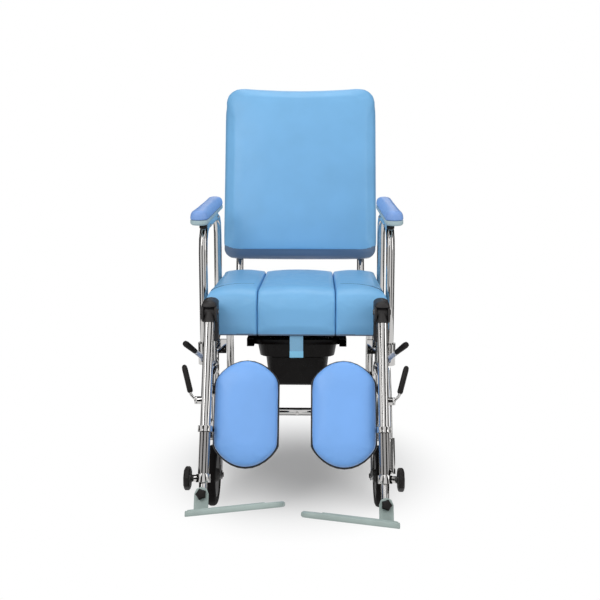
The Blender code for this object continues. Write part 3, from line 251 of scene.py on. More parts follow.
CHAIR_MIDDLE = Vector((0, 0, 0.5))
soft_box("key_box", (-1.3, -2.2, 2.4), 1.4, 24)
soft_box("fill_box", (1.8, -1.6, 1.7), 1.4, 9)
soft_box("top_box", (0, 0.3, 2.8), 1.6, 12)
print("studio ready")

# %% [markdown]
# ## Finishes
# Every finish is a small node tree on Object coordinates. A slow noise shifts the colour, a fine
# pattern gives the grain, and the roughness moves with a third noise, because no real surface is
# one flat colour.

# %% Finish helpers


def linear(red, green, blue):
    """A colour read as 0 to 255 on a screen, as the linear values that a shader takes."""
    parts = []
    for value in (red, green, blue):
        share = value / 255
        parts.append(share / 12.92 if share <= 0.04045 else ((share + 0.055) / 1.055) ** 2.4)
    return (*parts, 1)


class Finish:
    """A material with its shader, and short calls for the nodes that every finish here needs."""

    def __init__(self, name, **values):
        self.material = bpy.data.materials.new(name)
        self.material.use_nodes = True
        self.tree = self.material.node_tree
        self.shader = self.tree.nodes["Principled BSDF"]
        self.where = {"Vector": self.node("ShaderNodeTexCoord", {}, "Object")}
        self.last_bump = None
        for key, value in values.items():
            self.shader.inputs[key.replace("_", " ")].default_value = value

    def node(self, kind, inputs, output, **settings):
        return add(self.tree, kind, inputs, **settings).outputs[output]

    def show(self, output, socket):
        self.tree.links.new(output, self.shader.inputs[socket])

    def stretched(self, scale):
        return {"Vector": self.node("ShaderNodeMapping", self.where | {"Scale": scale}, "Vector")}

    def noise(self, scale, detail=3.0, where=None):
        inputs = (where or self.where) | {"Scale": scale, "Detail": detail}
        return self.node("ShaderNodeTexNoise", inputs, "Fac")

    def cells(self, scale):
        return self.node("ShaderNodeTexVoronoi", self.where | {"Scale": scale}, "Distance")

    def waves(self, scale, direction):
        inputs = self.where | {"Scale": scale}
        return self.node("ShaderNodeTexWave", inputs, "Fac", bands_direction=direction)

    def colours(self, pattern, first, second, start=0.3, end=0.7):
        ramp = add(self.tree, "ShaderNodeValToRGB", {"Fac": pattern})
        for index, (place, colour) in enumerate(((start, first), (end, second))):
            ramp.color_ramp.elements[index].position = place
            ramp.color_ramp.elements[index].color = colour
        self.show(ramp.outputs["Color"], "Base Color")

    def roughness(self, pattern, low, high):
        inputs = {"Value": pattern, "From Min": 0.3, "From Max": 0.7, "To Min": low, "To Max": high}
        self.show(self.node("ShaderNodeMapRange", inputs, "Result"), "Roughness")

    def bump(self, pattern, strength, depth):
        inputs = {"Height": pattern, "Strength": strength, "Distance": depth}
        if self.last_bump:
            inputs["Normal"] = self.last_bump
        self.last_bump = self.node("ShaderNodeBump", inputs, "Normal")
        self.show(self.last_bump, "Normal")


def scaled(colour, share):
    return (*(min(1.0, value * share) for value in colour[:3]), 1)


# %% [markdown]
# Upholstery vinyl has a fine pebble grain and a soft sheen. Chrome is a mirror with faint polishing
# marks. Moulded plastic carries the texture of its mould, and the tyres are dusty rubber. After
# the colour, a vinyl takes its grain, a metal its lowest and highest roughness, and a moulding
# these two, its grain, the depth of the grain and its shine.

# %% The finishes of this chair


def vinyl(name, colour, grain):
    finish = Finish(name, Specular_IOR_Level=0.45, Coat_Weight=0.06, Coat_Roughness=0.3)
    finish.colours(finish.noise(7), scaled(colour, 0.93), scaled(colour, 1.04))
    finish.roughness(finish.noise(45), 0.36, 0.48)
    finish.bump(finish.cells(grain), 0.16, 0.0004)
    finish.bump(finish.noise(130, 4), 0.10, 0.0008)
    return finish.material


def polished_metal(name, colour, low, high, brushed=False):
    finish = Finish(name, Metallic=1.0)
    finish.colours(finish.noise(24), scaled(colour, 0.95), colour)
    finish.roughness(finish.noise(70), low, high)
    if brushed:
        finish.bump(finish.noise(900, 2, finish.stretched((1, 1, 0.06))), 0.08, 0.0003)
    else:
        finish.bump(finish.noise(320, 2), 0.015, 0.0003)
    return finish.material


def moulded(name, colour, low, high, grain, strength, shine=0.5):
    finish = Finish(name, Specular_IOR_Level=shine)
    finish.colours(finish.noise(18), scaled(colour, 0.88), scaled(colour, 1.08))
    finish.roughness(finish.noise(60), low, high)
    finish.bump(finish.noise(grain, 4), strength, 0.0004)
    return finish.material


def rubber(name, colour):
    finish = Finish(name, Specular_IOR_Level=0.08)
    finish.colours(finish.noise(35, 6), scaled(colour, 0.8), scaled(colour, 1.35), 0.35, 0.75)
    finish.roughness(finish.noise(90), 0.62, 0.8)
    finish.bump(finish.noise(700, 3), 0.2, 0.0003)
    return finish.material


def webbing(name, colour):
    finish = Finish(name, Sheen_Weight=0.2)
    finish.colours(finish.waves(150, "X"), scaled(colour, 0.72), scaled(colour, 1.1), 0.1, 0.7)
    finish.roughness(finish.noise(400), 0.6, 0.75)
    finish.bump(finish.waves(150, "X"), 0.5, 0.0008)
    finish.bump(finish.waves(420, "Z"), 0.25, 0.0004)
    return finish.material


chrome = polished_metal("polished chrome", (0.57, 0.56, 0.55, 1), 0.04, 0.10)
# A darker copy of the chrome, as painted shade on the lower legrest tubes.
shaded_chrome = polished_metal("shaded chrome", (0.33, 0.32, 0.315, 1), 0.05, 0.12)
steel = polished_metal("brushed steel", (0.60, 0.60, 0.61, 1), 0.24, 0.38, True)
seat_vinyl = vinyl("seat vinyl", linear(119, 181, 228), 1100)
# A darker blue vinyl, as painted shade along the seat's bottom and under the backrest's fold.
painted_shade_vinyl = vinyl("painted shade vinyl", linear(98, 121, 150), 1100)
# A dark roll along each dart, as painted crease shade.
shade_line_vinyl = vinyl("dart shade line", linear(30, 46, 76), 1300)
calf_vinyl = vinyl("calf pad vinyl", linear(124, 178, 246), 1300)
arm_vinyl = vinyl("armrest vinyl", linear(126, 165, 226), 1300)
edge_vinyl = vinyl("black edging", linear(34, 32, 34), 1300)
pale_plastic = moulded("armrest base plastic", linear(166, 188, 194), 0.4, 0.52, 420, 0.12)
mint_plastic = moulded("footplate plastic", linear(160, 175, 171), 0.42, 0.55, 380, 0.14)
black_plastic = moulded("black moulded plastic", linear(26, 23, 22), 0.38, 0.52, 520, 0.18, 0.22)
pan_plastic = moulded("pan plastic", linear(12, 8, 7), 0.24, 0.36, 160, 0.05, 0.14)
black_paint = moulded("black painted steel", linear(16, 13, 12), 0.3, 0.42, 260, 0.06, 0.16)
knee_plastic = moulded("knee plastic", linear(46, 44, 44), 0.42, 0.55, 400, 0.12, 0.3)
hub_plastic = moulded("hub plastic", linear(58, 56, 55), 0.4, 0.5, 400, 0.1, 0.2)
tyre_rubber = rubber("tyre rubber", linear(17, 15, 15))
strap_fabric = webbing("strap webbing", linear(146, 202, 238))
hem_vinyl = vinyl("strap hem vinyl", linear(146, 218, 255), 1300)
finish_of_slot = {
    "chrome": chrome,
    "brushed_steel": steel,
    "pale_plastic": pale_plastic,
    "footplate_plastic": mint_plastic,
    "black_plastic": black_plastic,
    "tyre_rubber": tyre_rubber,
    "hub_plastic": hub_plastic,
}
finish_of_node = {"commode_pan": pan_plastic, "seat_frame": black_paint}
for word in SIDES:
    finish_of_node[f"knee_housing_{word}"] = knee_plastic
print(len(bpy.data.materials), "finishes")

# %% [markdown]
# ## Rigid parts
# The solids have the right shapes but only a few facets. A copy of each is merged, shaded smooth
# across its round faces, and gets a small rolled edge, because no real edge is perfectly sharp and
# it is the edge that catches the light. The copy stands for its solid.

# %% Rounded copies of the rigid parts
SOFT_NODES = {"seat_centre_cushion", "backrest_cushion", "pull_strap"}
for word in SIDES:
    SOFT_NODES |= {f"seat_cushion_{word}", f"armrest_pad_{word}", f"calf_pad_{word}"}
ROUND_ANGLE = math.radians(38)
MERGE = 1e-5
EDGE_ROLL = 0.0006
FLAT_ANGLE = 0.01


def as_piece(name, mesh, finish, body):
    """A finished mesh as a piece of the chair, riding on its body."""
    mesh.materials.clear()
    mesh.materials.append(finish)
    piece = linked(name, mesh)
    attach(piece, body)
    return piece


def mesh_of(name, bm):
    """A new mesh from a bmesh, which is then freed."""
    mesh = bpy.data.meshes.new(name)
    bm.to_mesh(mesh)
    bm.free()
    return mesh


def merged_copy(node):
    """The node's mesh with its loose triangles joined."""
    bm = bmesh.new()
    bm.from_mesh(nodes[node].data)
    bmesh.ops.remove_doubles(bm, verts=bm.verts, dist=MERGE)
    return bm


def evaluated_mesh(piece):
    """The piece's mesh after its modifiers, which are then removed."""
    graph = bpy.context.evaluated_depsgraph_get()
    mesh = bpy.data.meshes.new_from_object(piece.evaluated_get(graph))
    piece.modifiers.clear()
    piece.data = mesh
    return mesh


def shade_round(mesh):
    """Smooth shading, with a sharp edge wherever two faces meet at more than its angle."""
    bm = bmesh.new()
    bm.from_mesh(mesh)
    for face in bm.faces:
        face.smooth = True
    for edge in bm.edges:
        edge.smooth = len(edge.link_faces) == 2 and edge.calc_face_angle(0) < ROUND_ANGLE
    bm.to_mesh(mesh)
    bm.free()


def rounded_copy(node):
    """A copy of a rigid solid with rolled edges, in the solid's place."""
    slot = slot_of_node[node]
    bm = merged_copy(node)
    bmesh.ops.dissolve_limit(bm, angle_limit=FLAT_ANGLE, verts=bm.verts, edges=bm.edges)
    name = "finished_" + node
    finish = finish_of_node.get(node, finish_of_slot[slot])
    piece = as_piece(name, mesh_of(name, bm), finish, body_of_node[node])
    roll = piece.modifiers.new("rolled edge", "BEVEL")
    roll.width = EDGE_ROLL
    roll.segments = 2
    roll.limit_method = "ANGLE"
    roll.angle_limit = ROUND_ANGLE
    shade_round(evaluated_mesh(piece))
    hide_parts(node)


rigid = sorted(set(nodes) - SOFT_NODES)
for node in rigid:
    rounded_copy(node)
print(len(rigid), "rigid pieces rounded")

# %% [markdown]
# ## Upholstery
# Each cushion is foam under vinyl. The solid is remeshed into even small faces, drawn in a little
# and blown up with Cloth under pressure, as foam pushes a cover out. Points that rest on something
# firm are pinned, and a cap keeps the swelling to what such a cover allows.

# %% Cloth helpers
CLOTH_FRAMES = 10
CLOTH_PRESSURE = 3.0
ROLL_SIDES = 4


def vectors(items, key):
    """One vector of every item, as rows."""
    values = np.empty(len(items) * 3, np.float32)
    items.foreach_get(key, values)
    return values.reshape(-1, 3).astype(np.float64)


def coordinates(mesh):
    return vectors(mesh.vertices, "co")


def set_coordinates(mesh, points):
    mesh.vertices.foreach_set("co", points.astype(np.float32).ravel())
    mesh.update()


def in_plane(plane, points):
    """World points in a plane's own numbers."""
    inverse = np.array(plane.inverted())
    return points @ inverse[:3, :3].T + inverse[:3, 3]


def in_world(plane, points):
    matrix = np.array(plane)
    return points @ matrix[:3, :3].T + matrix[:3, 3]


def second_finish(piece, plane, finish, covers):
    """Gives the faces that a test covers, in the plane's own numbers, a second finish."""
    piece.data.materials.append(finish)
    faces = piece.data.polygons
    covered = covers(in_plane(plane, vectors(faces, "center")))
    faces.foreach_set("material_index", covered.astype(np.int32))


def reshaped(name, plane, move):
    """Moves the points of a finished piece by a formula in the plane's own numbers.

    The formula gets its own copy of the points, and may change them in place.
    """
    mesh = bpy.data.objects[name].data
    set_coordinates(mesh, in_world(plane, move(in_plane(plane, coordinates(mesh)))))


def blown(piece, pinned, cap):
    """The points of the piece after Cloth has pressed it out, none further than the cap."""
    start = coordinates(piece.data)
    group = piece.vertex_groups.new(name="rests")
    group.add([int(k) for k in np.flatnonzero(pinned)], 1.0, "REPLACE")
    cloth = piece.modifiers.new("cover", "CLOTH")
    cloth.settings.use_pressure = True
    cloth.settings.uniform_pressure_force = CLOTH_PRESSURE
    cloth.settings.vertex_group_mass = "rests"
    cloth.settings.effector_weights.gravity = 0
    for step in range(1, CLOTH_FRAMES + 1):
        scene.frame_set(step)
    graph = bpy.context.evaluated_depsgraph_get()
    result = piece.evaluated_get(graph).to_mesh()
    moved = coordinates(result) - start
    piece.evaluated_get(graph).to_mesh_clear()
    piece.modifiers.clear()
    piece.vertex_groups.clear()
    scene.frame_set(1)
    reach = np.linalg.norm(moved, axis=1, keepdims=True)
    return start + moved * np.minimum(1.0, cap / np.maximum(reach, 1e-9))


def upholstered(name, node, finish, cover, plane, rests, shape, panel=None):
    """A cushion in place of its solid.

    cover gives the size of its faces, how far it is drawn in and how far it may swell. rests tells
    which of its plane's points lie on something, shape moves the points of the finished cushion,
    and panel is a second finish with a test for the points that it covers.
    """
    voxel, inset, cap = cover
    mesh = mesh_of(name, merged_copy(node))
    piece = as_piece(name, mesh, finish, body_of_node[node])
    grid = piece.modifiers.new("even faces", "REMESH")
    grid.mode = "VOXEL"
    grid.voxel_size = voxel
    evaluated_mesh(piece)
    points = coordinates(piece.data)
    pinned = rests(in_plane(plane, points))
    inwards = -vectors(piece.data.vertex_normals, "vector")
    set_coordinates(piece.data, points + inwards * inset * (~pinned)[:, None])
    set_coordinates(piece.data, blown(piece, pinned, cap))
    even = piece.modifiers.new("even", "SMOOTH")
    even.factor = 0.5
    even.iterations = 2
    finer = piece.modifiers.new("finer", "SUBSURF")
    finer.levels = 1
    finer.render_levels = 1
    evaluated_mesh(piece)
    reshaped(name, plane, shape)
    for face in piece.data.polygons:
        face.use_smooth = True
    if panel:
        second_finish(piece, plane, *panel)
    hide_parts(node)
    print(name, len(piece.data.polygons), "faces")


def swept(name, points, radius, closed):
    """A round roll along points, as a mesh."""
    curve = bpy.data.curves.new(name, "CURVE")
    curve.dimensions = "3D"
    curve.bevel_depth = radius
    curve.bevel_resolution = ROLL_SIDES
    curve.use_fill_caps = True
    line = curve.splines.new("POLY")
    line.points.add(len(points) - 1)
    for spot, point in zip(line.points, points):
        spot.co = (*point, 1)
    line.use_cyclic_u = closed
    holder = linked(name, curve)
    graph = bpy.context.evaluated_depsgraph_get()
    mesh = bpy.data.meshes.new_from_object(holder.evaluated_get(graph))
    bpy.data.objects.remove(holder)
    return mesh


def put(mesh, place):
    """Moves a mesh to its place and turns its faces outwards."""
    mesh.transform(place)
    bm = bmesh.new()
    bm.from_mesh(mesh)
    bmesh.ops.remove_doubles(bm, verts=bm.verts, dist=MERGE)
    bmesh.ops.recalc_face_normals(bm, faces=bm.faces)
    bm.to_mesh(mesh)
    bm.free()
    shade_round(mesh)
    return mesh


def smooth_share(values, low, high):
    share = np.clip((values - low) / (high - low), 0, 1)
    return share * share * (3 - 2 * share)


def creased(points, path, depth, width, sinks):
    """Sinks the points near a sewn line, where they may sink, measured in the plane of the line."""
    flat = points[:, :2]
    nearest = np.full(len(points), 1e9)
    for a, b in zip(path[:-1], path[1:]):
        start = np.array(a)
        run = np.array(b) - start
        share = np.clip((flat - start) @ run / (run @ run), 0, 1)
        nearest = np.minimum(nearest, np.linalg.norm(flat - start - share[:, None] * run, axis=1))
    points[:, 2] -= depth * np.exp(-((nearest / width) ** 2)) * sinks
    return points


# %% [markdown]
# The seat is three blocks side by side. Each outer block carries a sewn dart from its front corner
# towards the centre, and the blocks meet in two tight seams. A darker band along the bottom is
# painted shade.

# %% Seat cushions
SEAT_COVER = (0.004, 0.001, 0.0022)
SEAT_REST = 0.004
SEAT_EDGE = 0.2205
SEAT_FLARE = 0.009
FLARE_START = 0.010
FLARE_END = 0.031
# Height of the darker band along the bottom: painted shade.
SEAT_SHADE_HEIGHT = 0.006
SEAT_DART = [(0.2205, 0.030), (0.19, 0.064), (0.16, 0.088), (0.112, 0.112)]
SEAM_HALF = 0.097
SEAM_ROOM = 0.0004
SEAM_PRESS = 0.001
SOFT_EDGE = 0.012
SEAM_EDGE = 0.004
DART_DEPTH = 0.0018
DART_WIDTH = 0.003
DART_ABOVE = 0.07


def flared(x, y):
    """Draws the outer side of the seat out at the front corner, ahead of the armrest's post."""
    share = np.clip((x - SEAM_HALF) / (SEAT_EDGE - SEAM_HALF), 0, 1)
    return x + SEAT_FLARE * share * np.clip((FLARE_END - y) / (FLARE_END - FLARE_START), 0, 1)


def pressed(x, seam, anchor):
    """Stretches a block from its anchor until it presses on the seam, its soft edge drawn in."""
    way = 1 if seam > anchor else -1
    along = way * (x - anchor)
    reach = way * (seam - anchor)
    face = along.max()
    ends = [0, reach - SEAM_EDGE, reach + SEAM_PRESS]
    drawn = np.interp(along, [0, face - SOFT_EDGE, face], ends)
    return anchor + way * np.where(along < 0, along, np.minimum(drawn, reach))


def outer_block_shape(side):
    """Holds an outer block between the seam and the armrest, and sinks its dart."""

    def shape(points):
        x = pressed(side * points[:, 0], SEAM_HALF + SEAM_ROOM, SEAT_EDGE)
        points[:, 0] = side * flared(np.minimum(x, SEAT_EDGE), points[:, 1])
        dart = [(side * spot_x, spot_y) for spot_x, spot_y in SEAT_DART]
        return creased(points, dart, DART_DEPTH, DART_WIDTH, points[:, 2] > DART_ABOVE)

    return shape


def centre_block_shape(points):
    """Presses the centre block on both seams."""
    right = pressed(points[:, 0], SEAM_HALF, 0.0)
    left = pressed(points[:, 0], -SEAM_HALF, 0.0)
    points[:, 0] = np.where(points[:, 0] > 0, right, left)
    return points


def seat_block(name, node, shape):
    upholstered(
        name, node, seat_vinyl, SEAT_COVER, SEAT_PLANE,
        lambda points: points[:, 2] < SEAT_REST, shape,
        # The band along the bottom is darker: painted shade.
        (painted_shade_vinyl, lambda points: points[:, 2] < SEAT_SHADE_HEIGHT),
    )


for word, side in SIGNS.items():
    seat_block(f"seat_block_{word}", f"seat_cushion_{word}", outer_block_shape(side))
seat_block("seat_block_centre", "seat_centre_cushion", centre_block_shape)

# %% [markdown]
# A thin dark roll along each dart paints the shade of its crease.
# Its line is dropped on to the finished cover.

# %% Painted crease shade along the darts
DART_SHADE_RADIUS = 0.0014
DART_SHADE_STEPS = 28
DART_SHADE_START = 0.2185
DROP_HEIGHT = 0.3


def dropped(block, x, y):
    """The place on a block below a point of the seat's plane."""
    start = SEAT_PLANE @ Vector((x, y, DROP_HEIGHT))
    down = SEAT_PLANE.to_3x3() @ Vector((0, 0, -1))
    return block.ray_cast(start, down)[1]


bpy.context.view_layer.update()
dart_x, dart_y = zip(*reversed(SEAT_DART))
for word, side in SIGNS.items():
    block = bpy.data.objects[f"seat_block_{word}"]
    line = []
    for x in np.linspace(dart_x[0], DART_SHADE_START, DART_SHADE_STEPS):
        line.append(dropped(block, side * x, np.interp(x, dart_x, dart_y)))
    # A dark roll along the dart: painted crease shade.
    shade_line = put(swept("dart_shade_line", line, DART_SHADE_RADIUS, False), PLAIN)
    node = f"seat_cushion_{word}"
    as_piece(f"dart_shade_line_{word}", shade_line, shade_line_vinyl, body_of_node[node])
print("darts sewn")

# %% [markdown]
# The backrest is one thick pad on a board. Its cover pulls the top edge down between the corners,
# so the corners stand up like soft ears. Along the bottom the front folds under, with the fold as a
# crease, and the folded-under part is darker blue as painted shade.

# %% Backrest cushion
BACK_COVER = (0.006, 0.001, 0.003)
BACK_TOP = 0.672
BACK_BOTTOM = 0.152
BACK_REST = -0.0125
BACK_WIDEN = 1.045
EAR_DIP = 0.0065
EAR_HALF = 0.165
EAR_REACH = 0.12
ROLL_HEIGHT = 0.026
ROLL_SLOPE = 1.05
FOLD_SNAP = 0.0016
ROLL_CORNER = 0.012
ROLL_CORNER_START = 0.175
ROLL_CORNER_WIDTH = 0.0455


def fold_line(points):
    """Height of the fold above the lower edge: level, and higher towards the corners."""
    beyond = (np.abs(points[:, 0]) - ROLL_CORNER_START) / ROLL_CORNER_WIDTH
    corner = np.clip(beyond, 0, 1)
    return BACK_BOTTOM + ROLL_HEIGHT + ROLL_CORNER * corner**2


def back_shape(points):
    """Fills the cover to its width, dips its top edge and folds its front under at the bottom."""
    points[:, 0] *= BACK_WIDEN
    across = np.clip(1 - (points[:, 0] / EAR_HALF) ** 2, 0, 1)
    points[:, 2] -= EAR_DIP * across * smooth_share(points[:, 2], BACK_TOP - EAR_REACH, BACK_TOP)
    fold = fold_line(points)
    points[:, 2] = np.where(np.abs(points[:, 2] - fold) < FOLD_SNAP, fold, points[:, 2])
    under = np.maximum(0, fold - points[:, 2]) * ROLL_SLOPE
    front = points[:, 1].min()
    points[:, 1] = np.maximum(points[:, 1], np.minimum(front + under, BACK_REST))
    return points


upholstered(
    "backrest_pad", "backrest_cushion", seat_vinyl, BACK_COVER, BACK_PLANE,
    lambda points: points[:, 1] > BACK_REST, back_shape,
    # The part below the fold is darker: painted shade.
    (painted_shade_vinyl, lambda points: points[:, 2] < fold_line(points)),
)

# %% [markdown]
# The armrest pads are slim and firm. They stand a little higher and further out than their solids
# and start further back, so the tube's posts are drawn up and the pad and its base are drawn in at
# the front. The calf pads are flat paddles with a high arch at each end.

# %% Armrest and calf pads
ARM_COVER = (0.0035, 0.001, 0.0015)
CALF_COVER = (0.004, 0.001, 0.003)
ARM_REST = 0.7092
ARM_LIFT = 0.008
ARM_POST_LOW = 0.60
ARM_POST_HIGH = 0.66
ARM_PAD_END = 0.40 + SEAT_FRONT_Y
ARM_PAD_SHARE = 0.38 / 0.43
ARM_PAD_OUT = 0.008
CALF_CENTRE = (-0.091, 0.0445, -0.236)
CALF_HALF_WIDTH = 0.075
CALF_ARCH = {"half_height": 0.1235, "arch": 0.05, "power": 1.6}
SOLID_ARCH = {"half_height": 0.122, "arch": 0.024, "power": 0.7}
SOLID_CENTRE_Z = -0.243
BOARD_FRONT = 0.0440
BOARD_BACK = 0.0525
BOARD_ROOM = 0.002


def lifted(points):
    """Draws the tube's posts up under the raised pad."""
    points[:, 2] += ARM_LIFT * smooth_share(points[:, 2], ARM_POST_LOW, ARM_POST_HIGH)
    return points


def shortened(points):
    """Raises the pad, moves it out and draws it in at the front."""
    points = lifted(points)
    points[:, 0] += np.sign(points[:, 0]) * ARM_PAD_OUT
    points[:, 1] = ARM_PAD_END - (ARM_PAD_END - points[:, 1]) * ARM_PAD_SHARE
    return points


def arch_height(x, half_height, arch, power):
    """Half height of a paddle at a distance x from its middle line."""
    share = np.sqrt(np.clip(1 - (x / CALF_HALF_WIDTH) ** 2, 0, 1))
    return half_height - arch + arch * share**power


def arched(points):
    """Draws the solid's outline on to the higher arch."""
    x = points[:, 0] - CALF_CENTRE[0]
    stretch = arch_height(x, **CALF_ARCH) / arch_height(x, **SOLID_ARCH)
    points[:, 2] = CALF_CENTRE[2] + (points[:, 2] - SOLID_CENTRE_Z) * stretch
    return points


def arched_board(points):
    """The same for the board, with its arm and collar left where they are."""
    beside = np.abs(points[:, 0] - CALF_CENTRE[0]) < CALF_HALF_WIDTH + BOARD_ROOM
    board = beside & (points[:, 1] > BOARD_FRONT) & (points[:, 1] < BOARD_BACK)
    return np.where(board[:, None], arched(points.copy()), points)


LEGS = {word: mirror @ LEG_PLANE for word, mirror in SIDES.items()}
for word, leg in LEGS.items():
    upholstered(
        f"armrest_cover_{word}", f"armrest_pad_{word}", arm_vinyl, ARM_COVER, PLAIN,
        lambda points: points[:, 2] < ARM_REST, shortened,
    )
    reshaped(f"finished_armrest_base_{word}", PLAIN, shortened)
    reshaped(f"finished_armrest_frame_{word}", PLAIN, lifted)
    upholstered(
        f"calf_cover_{word}", f"calf_pad_{word}", calf_vinyl, CALF_COVER, leg,
        lambda points: points[:, 1] > CALF_CENTRE[1], arched,
    )
    reshaped(f"finished_calf_pad_back_{word}", leg, arched_board)

# %% [markdown]
# The edging is a thin roll of black vinyl, sewn round the rim between the vinyl and the backing
# board: straight sides with an arch at each end.

# %% Black edging of the calf pads
ARCH_STEPS = 14
EDGING_RADIUS = 0.0028


def calf_outline():
    points = []
    for sign in (1, -1):
        for k in range(ARCH_STEPS + 1):
            x = CALF_HALF_WIDTH * math.cos(math.pi * k / ARCH_STEPS)
            points.append((sign * x, 0, sign * arch_height(x, **CALF_ARCH)))
    return [Vector(point) + Vector(CALF_CENTRE) for point in points]


for word, leg in LEGS.items():
    roll = put(swept("calf_edging", calf_outline(), EDGING_RADIUS, True), leg)
    as_piece(f"calf_edging_{word}", roll, edge_vinyl, f"calf_{word}")
print("edging sewn")

# %% [markdown]
# Three thin shells are turned round each legrest tube. The collar that carries the calf pad wears a
# polished band with a rolled rim above and below. Under the knee cap the top of the tube is black,
# eye and all, down to a short sleeve, so the tube seems to grow out of the knee. Below the collar a
# thin sleeve is a darker chrome, as painted shade.

# %% Bands, sleeves and lower tubes
BLACK_ABOVE = -0.014
SHELL_SIDES = 32
BAND_PROFILE = [
    (0.01655, -0.2814), (0.0169, -0.2816), (0.0172, -0.2806), (0.0169, -0.2794),
    (0.0169, -0.2706), (0.0172, -0.2694), (0.0169, -0.2684), (0.01655, -0.2686),
]
SLEEVE_PROFILE = [
    (0.01255, -0.0275), (0.0128, -0.0278), (0.01315, -0.0270), (0.01315, -0.0245),
    (0.0129, -0.0238), (0.0131, -0.0230), (0.0131, -0.0025), (0.01255, -0.0020),
]
LOWER_PROFILE = [(0.01255, -0.3745), (0.0128, -0.3742), (0.0128, -0.2830), (0.01255, -0.2827)]
SHELLS = {
    "calf_collar_band": (BAND_PROFILE, chrome, "chrome", "calf"),
    "knee_sleeve": (SLEEVE_PROFILE, knee_plastic, "black_plastic", "legrest"),
    # A darker chrome: painted shade on the lower tube.
    "lower_tube": (LOWER_PROFILE, shaded_chrome, "chrome", "legrest"),
}


def turned(name, profile, closed=True, sides=SHELL_SIDES):
    """A profile of (radius, height) turned round the Z axis."""
    bm = bmesh.new()
    line = [bm.verts.new((radius, 0, height)) for radius, height in profile]
    pairs = list(zip(line[:-1], line[1:]))
    if closed:
        pairs.append((line[-1], line[0]))
    edges = [bm.edges.new(pair) for pair in pairs]
    bmesh.ops.spin(
        bm, geom=line + edges, axis=(0, 0, 1), cent=(0, 0, 0), steps=sides, angle=2 * math.pi
    )
    return mesh_of(name, bm)


for name, (profile, finish, slot, body) in SHELLS.items():
    for word, leg in LEGS.items():
        shell = put(turned(name, profile), leg)
        as_piece(f"{name}_{word}", shell, finish, f"{body}_{word}")
for word, leg in LEGS.items():
    tube = bpy.data.objects[f"finished_legrest_tube_{word}"]
    second_finish(tube, leg, knee_plastic, lambda points: points[:, 2] > BLACK_ABOVE)
print("shells turned")

# %% [markdown]
# The hand wheels are drawn in to the size that the photograph shows, and closer to the tube. The
# footplate's ear stands at the outer end of its plate, so the solid's overhang is drawn in to it.

# %% Hand wheels and footplates
WHEEL_AT = -0.385
WHEEL_SHARE = 0.0265 / 0.03
WHEEL_STEPS = [0, 0.0272, 0.0312, 0.0492]
DRAWN_STEPS = [0, 0.0272, 0.0279, 0.0425]
FOOT_END = 0.0165
FOOT_OVERHANG = 0.15
FOOT_SLOPE = math.tan(math.radians(6))


def drawn_in_wheel(points):
    """Makes the wheel smaller and thinner, and moves it along its stud."""
    out = np.interp(np.abs(points[:, 0]), WHEEL_STEPS, DRAWN_STEPS)
    points[:, 0] = np.sign(points[:, 0]) * out
    points[:, 1] *= WHEEL_SHARE
    points[:, 2] = WHEEL_AT + (points[:, 2] - WHEEL_AT) * WHEEL_SHARE
    return points


def drawn_in_to_ear(points):
    """Draws the overhang in to the ear, along the slope of the plate."""
    over = np.maximum(0, points[:, 0] - FOOT_END) * (1 - FOOT_OVERHANG)
    points[:, 0] -= over
    points[:, 2] += over * FOOT_SLOPE
    return points


for word, leg in LEGS.items():
    reshaped(f"finished_clamp_knob_{word}", leg, drawn_in_wheel)
    reshaped(f"finished_footplate_{word}", leg, drawn_in_to_ear)
print("wheels and footplates drawn in")

# %% [markdown]
# ## Pull strap
# The centre block lifts out by a loop of ribbed webbing. Its end is bound with a smooth sewn hem, a
# little brighter than the webbing. Both are thin strips that follow a line seen from the side.

# %% Pull strap
STRAP_WIDTH = 0.034
STRAP_Y = 0.022
STRAP_TOP = -0.0005
STRAP_DROP = 0.057
STRAP_THICKNESS = 0.0016
STRAP_GAP = 0.0012
STRAP_SLACK = 0.004
STRAP_STEPS = 12
STRAP_RIBS = 40
HEM_HEIGHT = 0.017
HEM_OUT = 0.0013
HEM_THICKNESS = 0.0008
HEM_SIDE = 0.0004
HEM_STEPS = 8
INSIDE_HEM = 0.001
FOLD_HALF = 0.6
FOLD_RISE = 0.3


def strap_line(top, low, gap, slack):
    """A loop from the side: down in front, round the fold and up behind."""
    front = []
    back = []
    for k in range(STRAP_STEPS + 1):
        share = k / STRAP_STEPS
        bow = slack * (1 - share) ** 2
        height = top + share * (low + gap - top)
        front.append((STRAP_Y - gap - bow, height))
        back.append((STRAP_Y + gap + bow, height))
    fold = [(STRAP_Y + side * gap * FOLD_HALF, low + gap * FOLD_RISE) for side in (-1, 1)]
    return front + fold + back[::-1]


def strip_mesh(name, line, half_width, thickness, across):
    """A strip of a width along a line, with its own thickness, in the seat's plane."""
    row = across + 1
    points = [(half_width * (2 * k / across - 1), y, z) for y, z in line for k in range(row)]
    firsts = [step * row + k for step in range(len(line) - 1) for k in range(across)]
    faces = [(first, first + 1, first + row + 1, first + row) for first in firsts]
    mesh = bpy.data.meshes.new(name)
    mesh.from_pydata(points, [], faces)
    mesh.transform(SEAT_PLANE)
    holder = linked(name, mesh)
    thicken = holder.modifiers.new("webbing", "SOLIDIFY")
    thicken.thickness = thickness
    thicken.offset = 0
    solid = evaluated_mesh(holder)
    bpy.data.objects.remove(holder)
    shade_round(solid)
    return solid


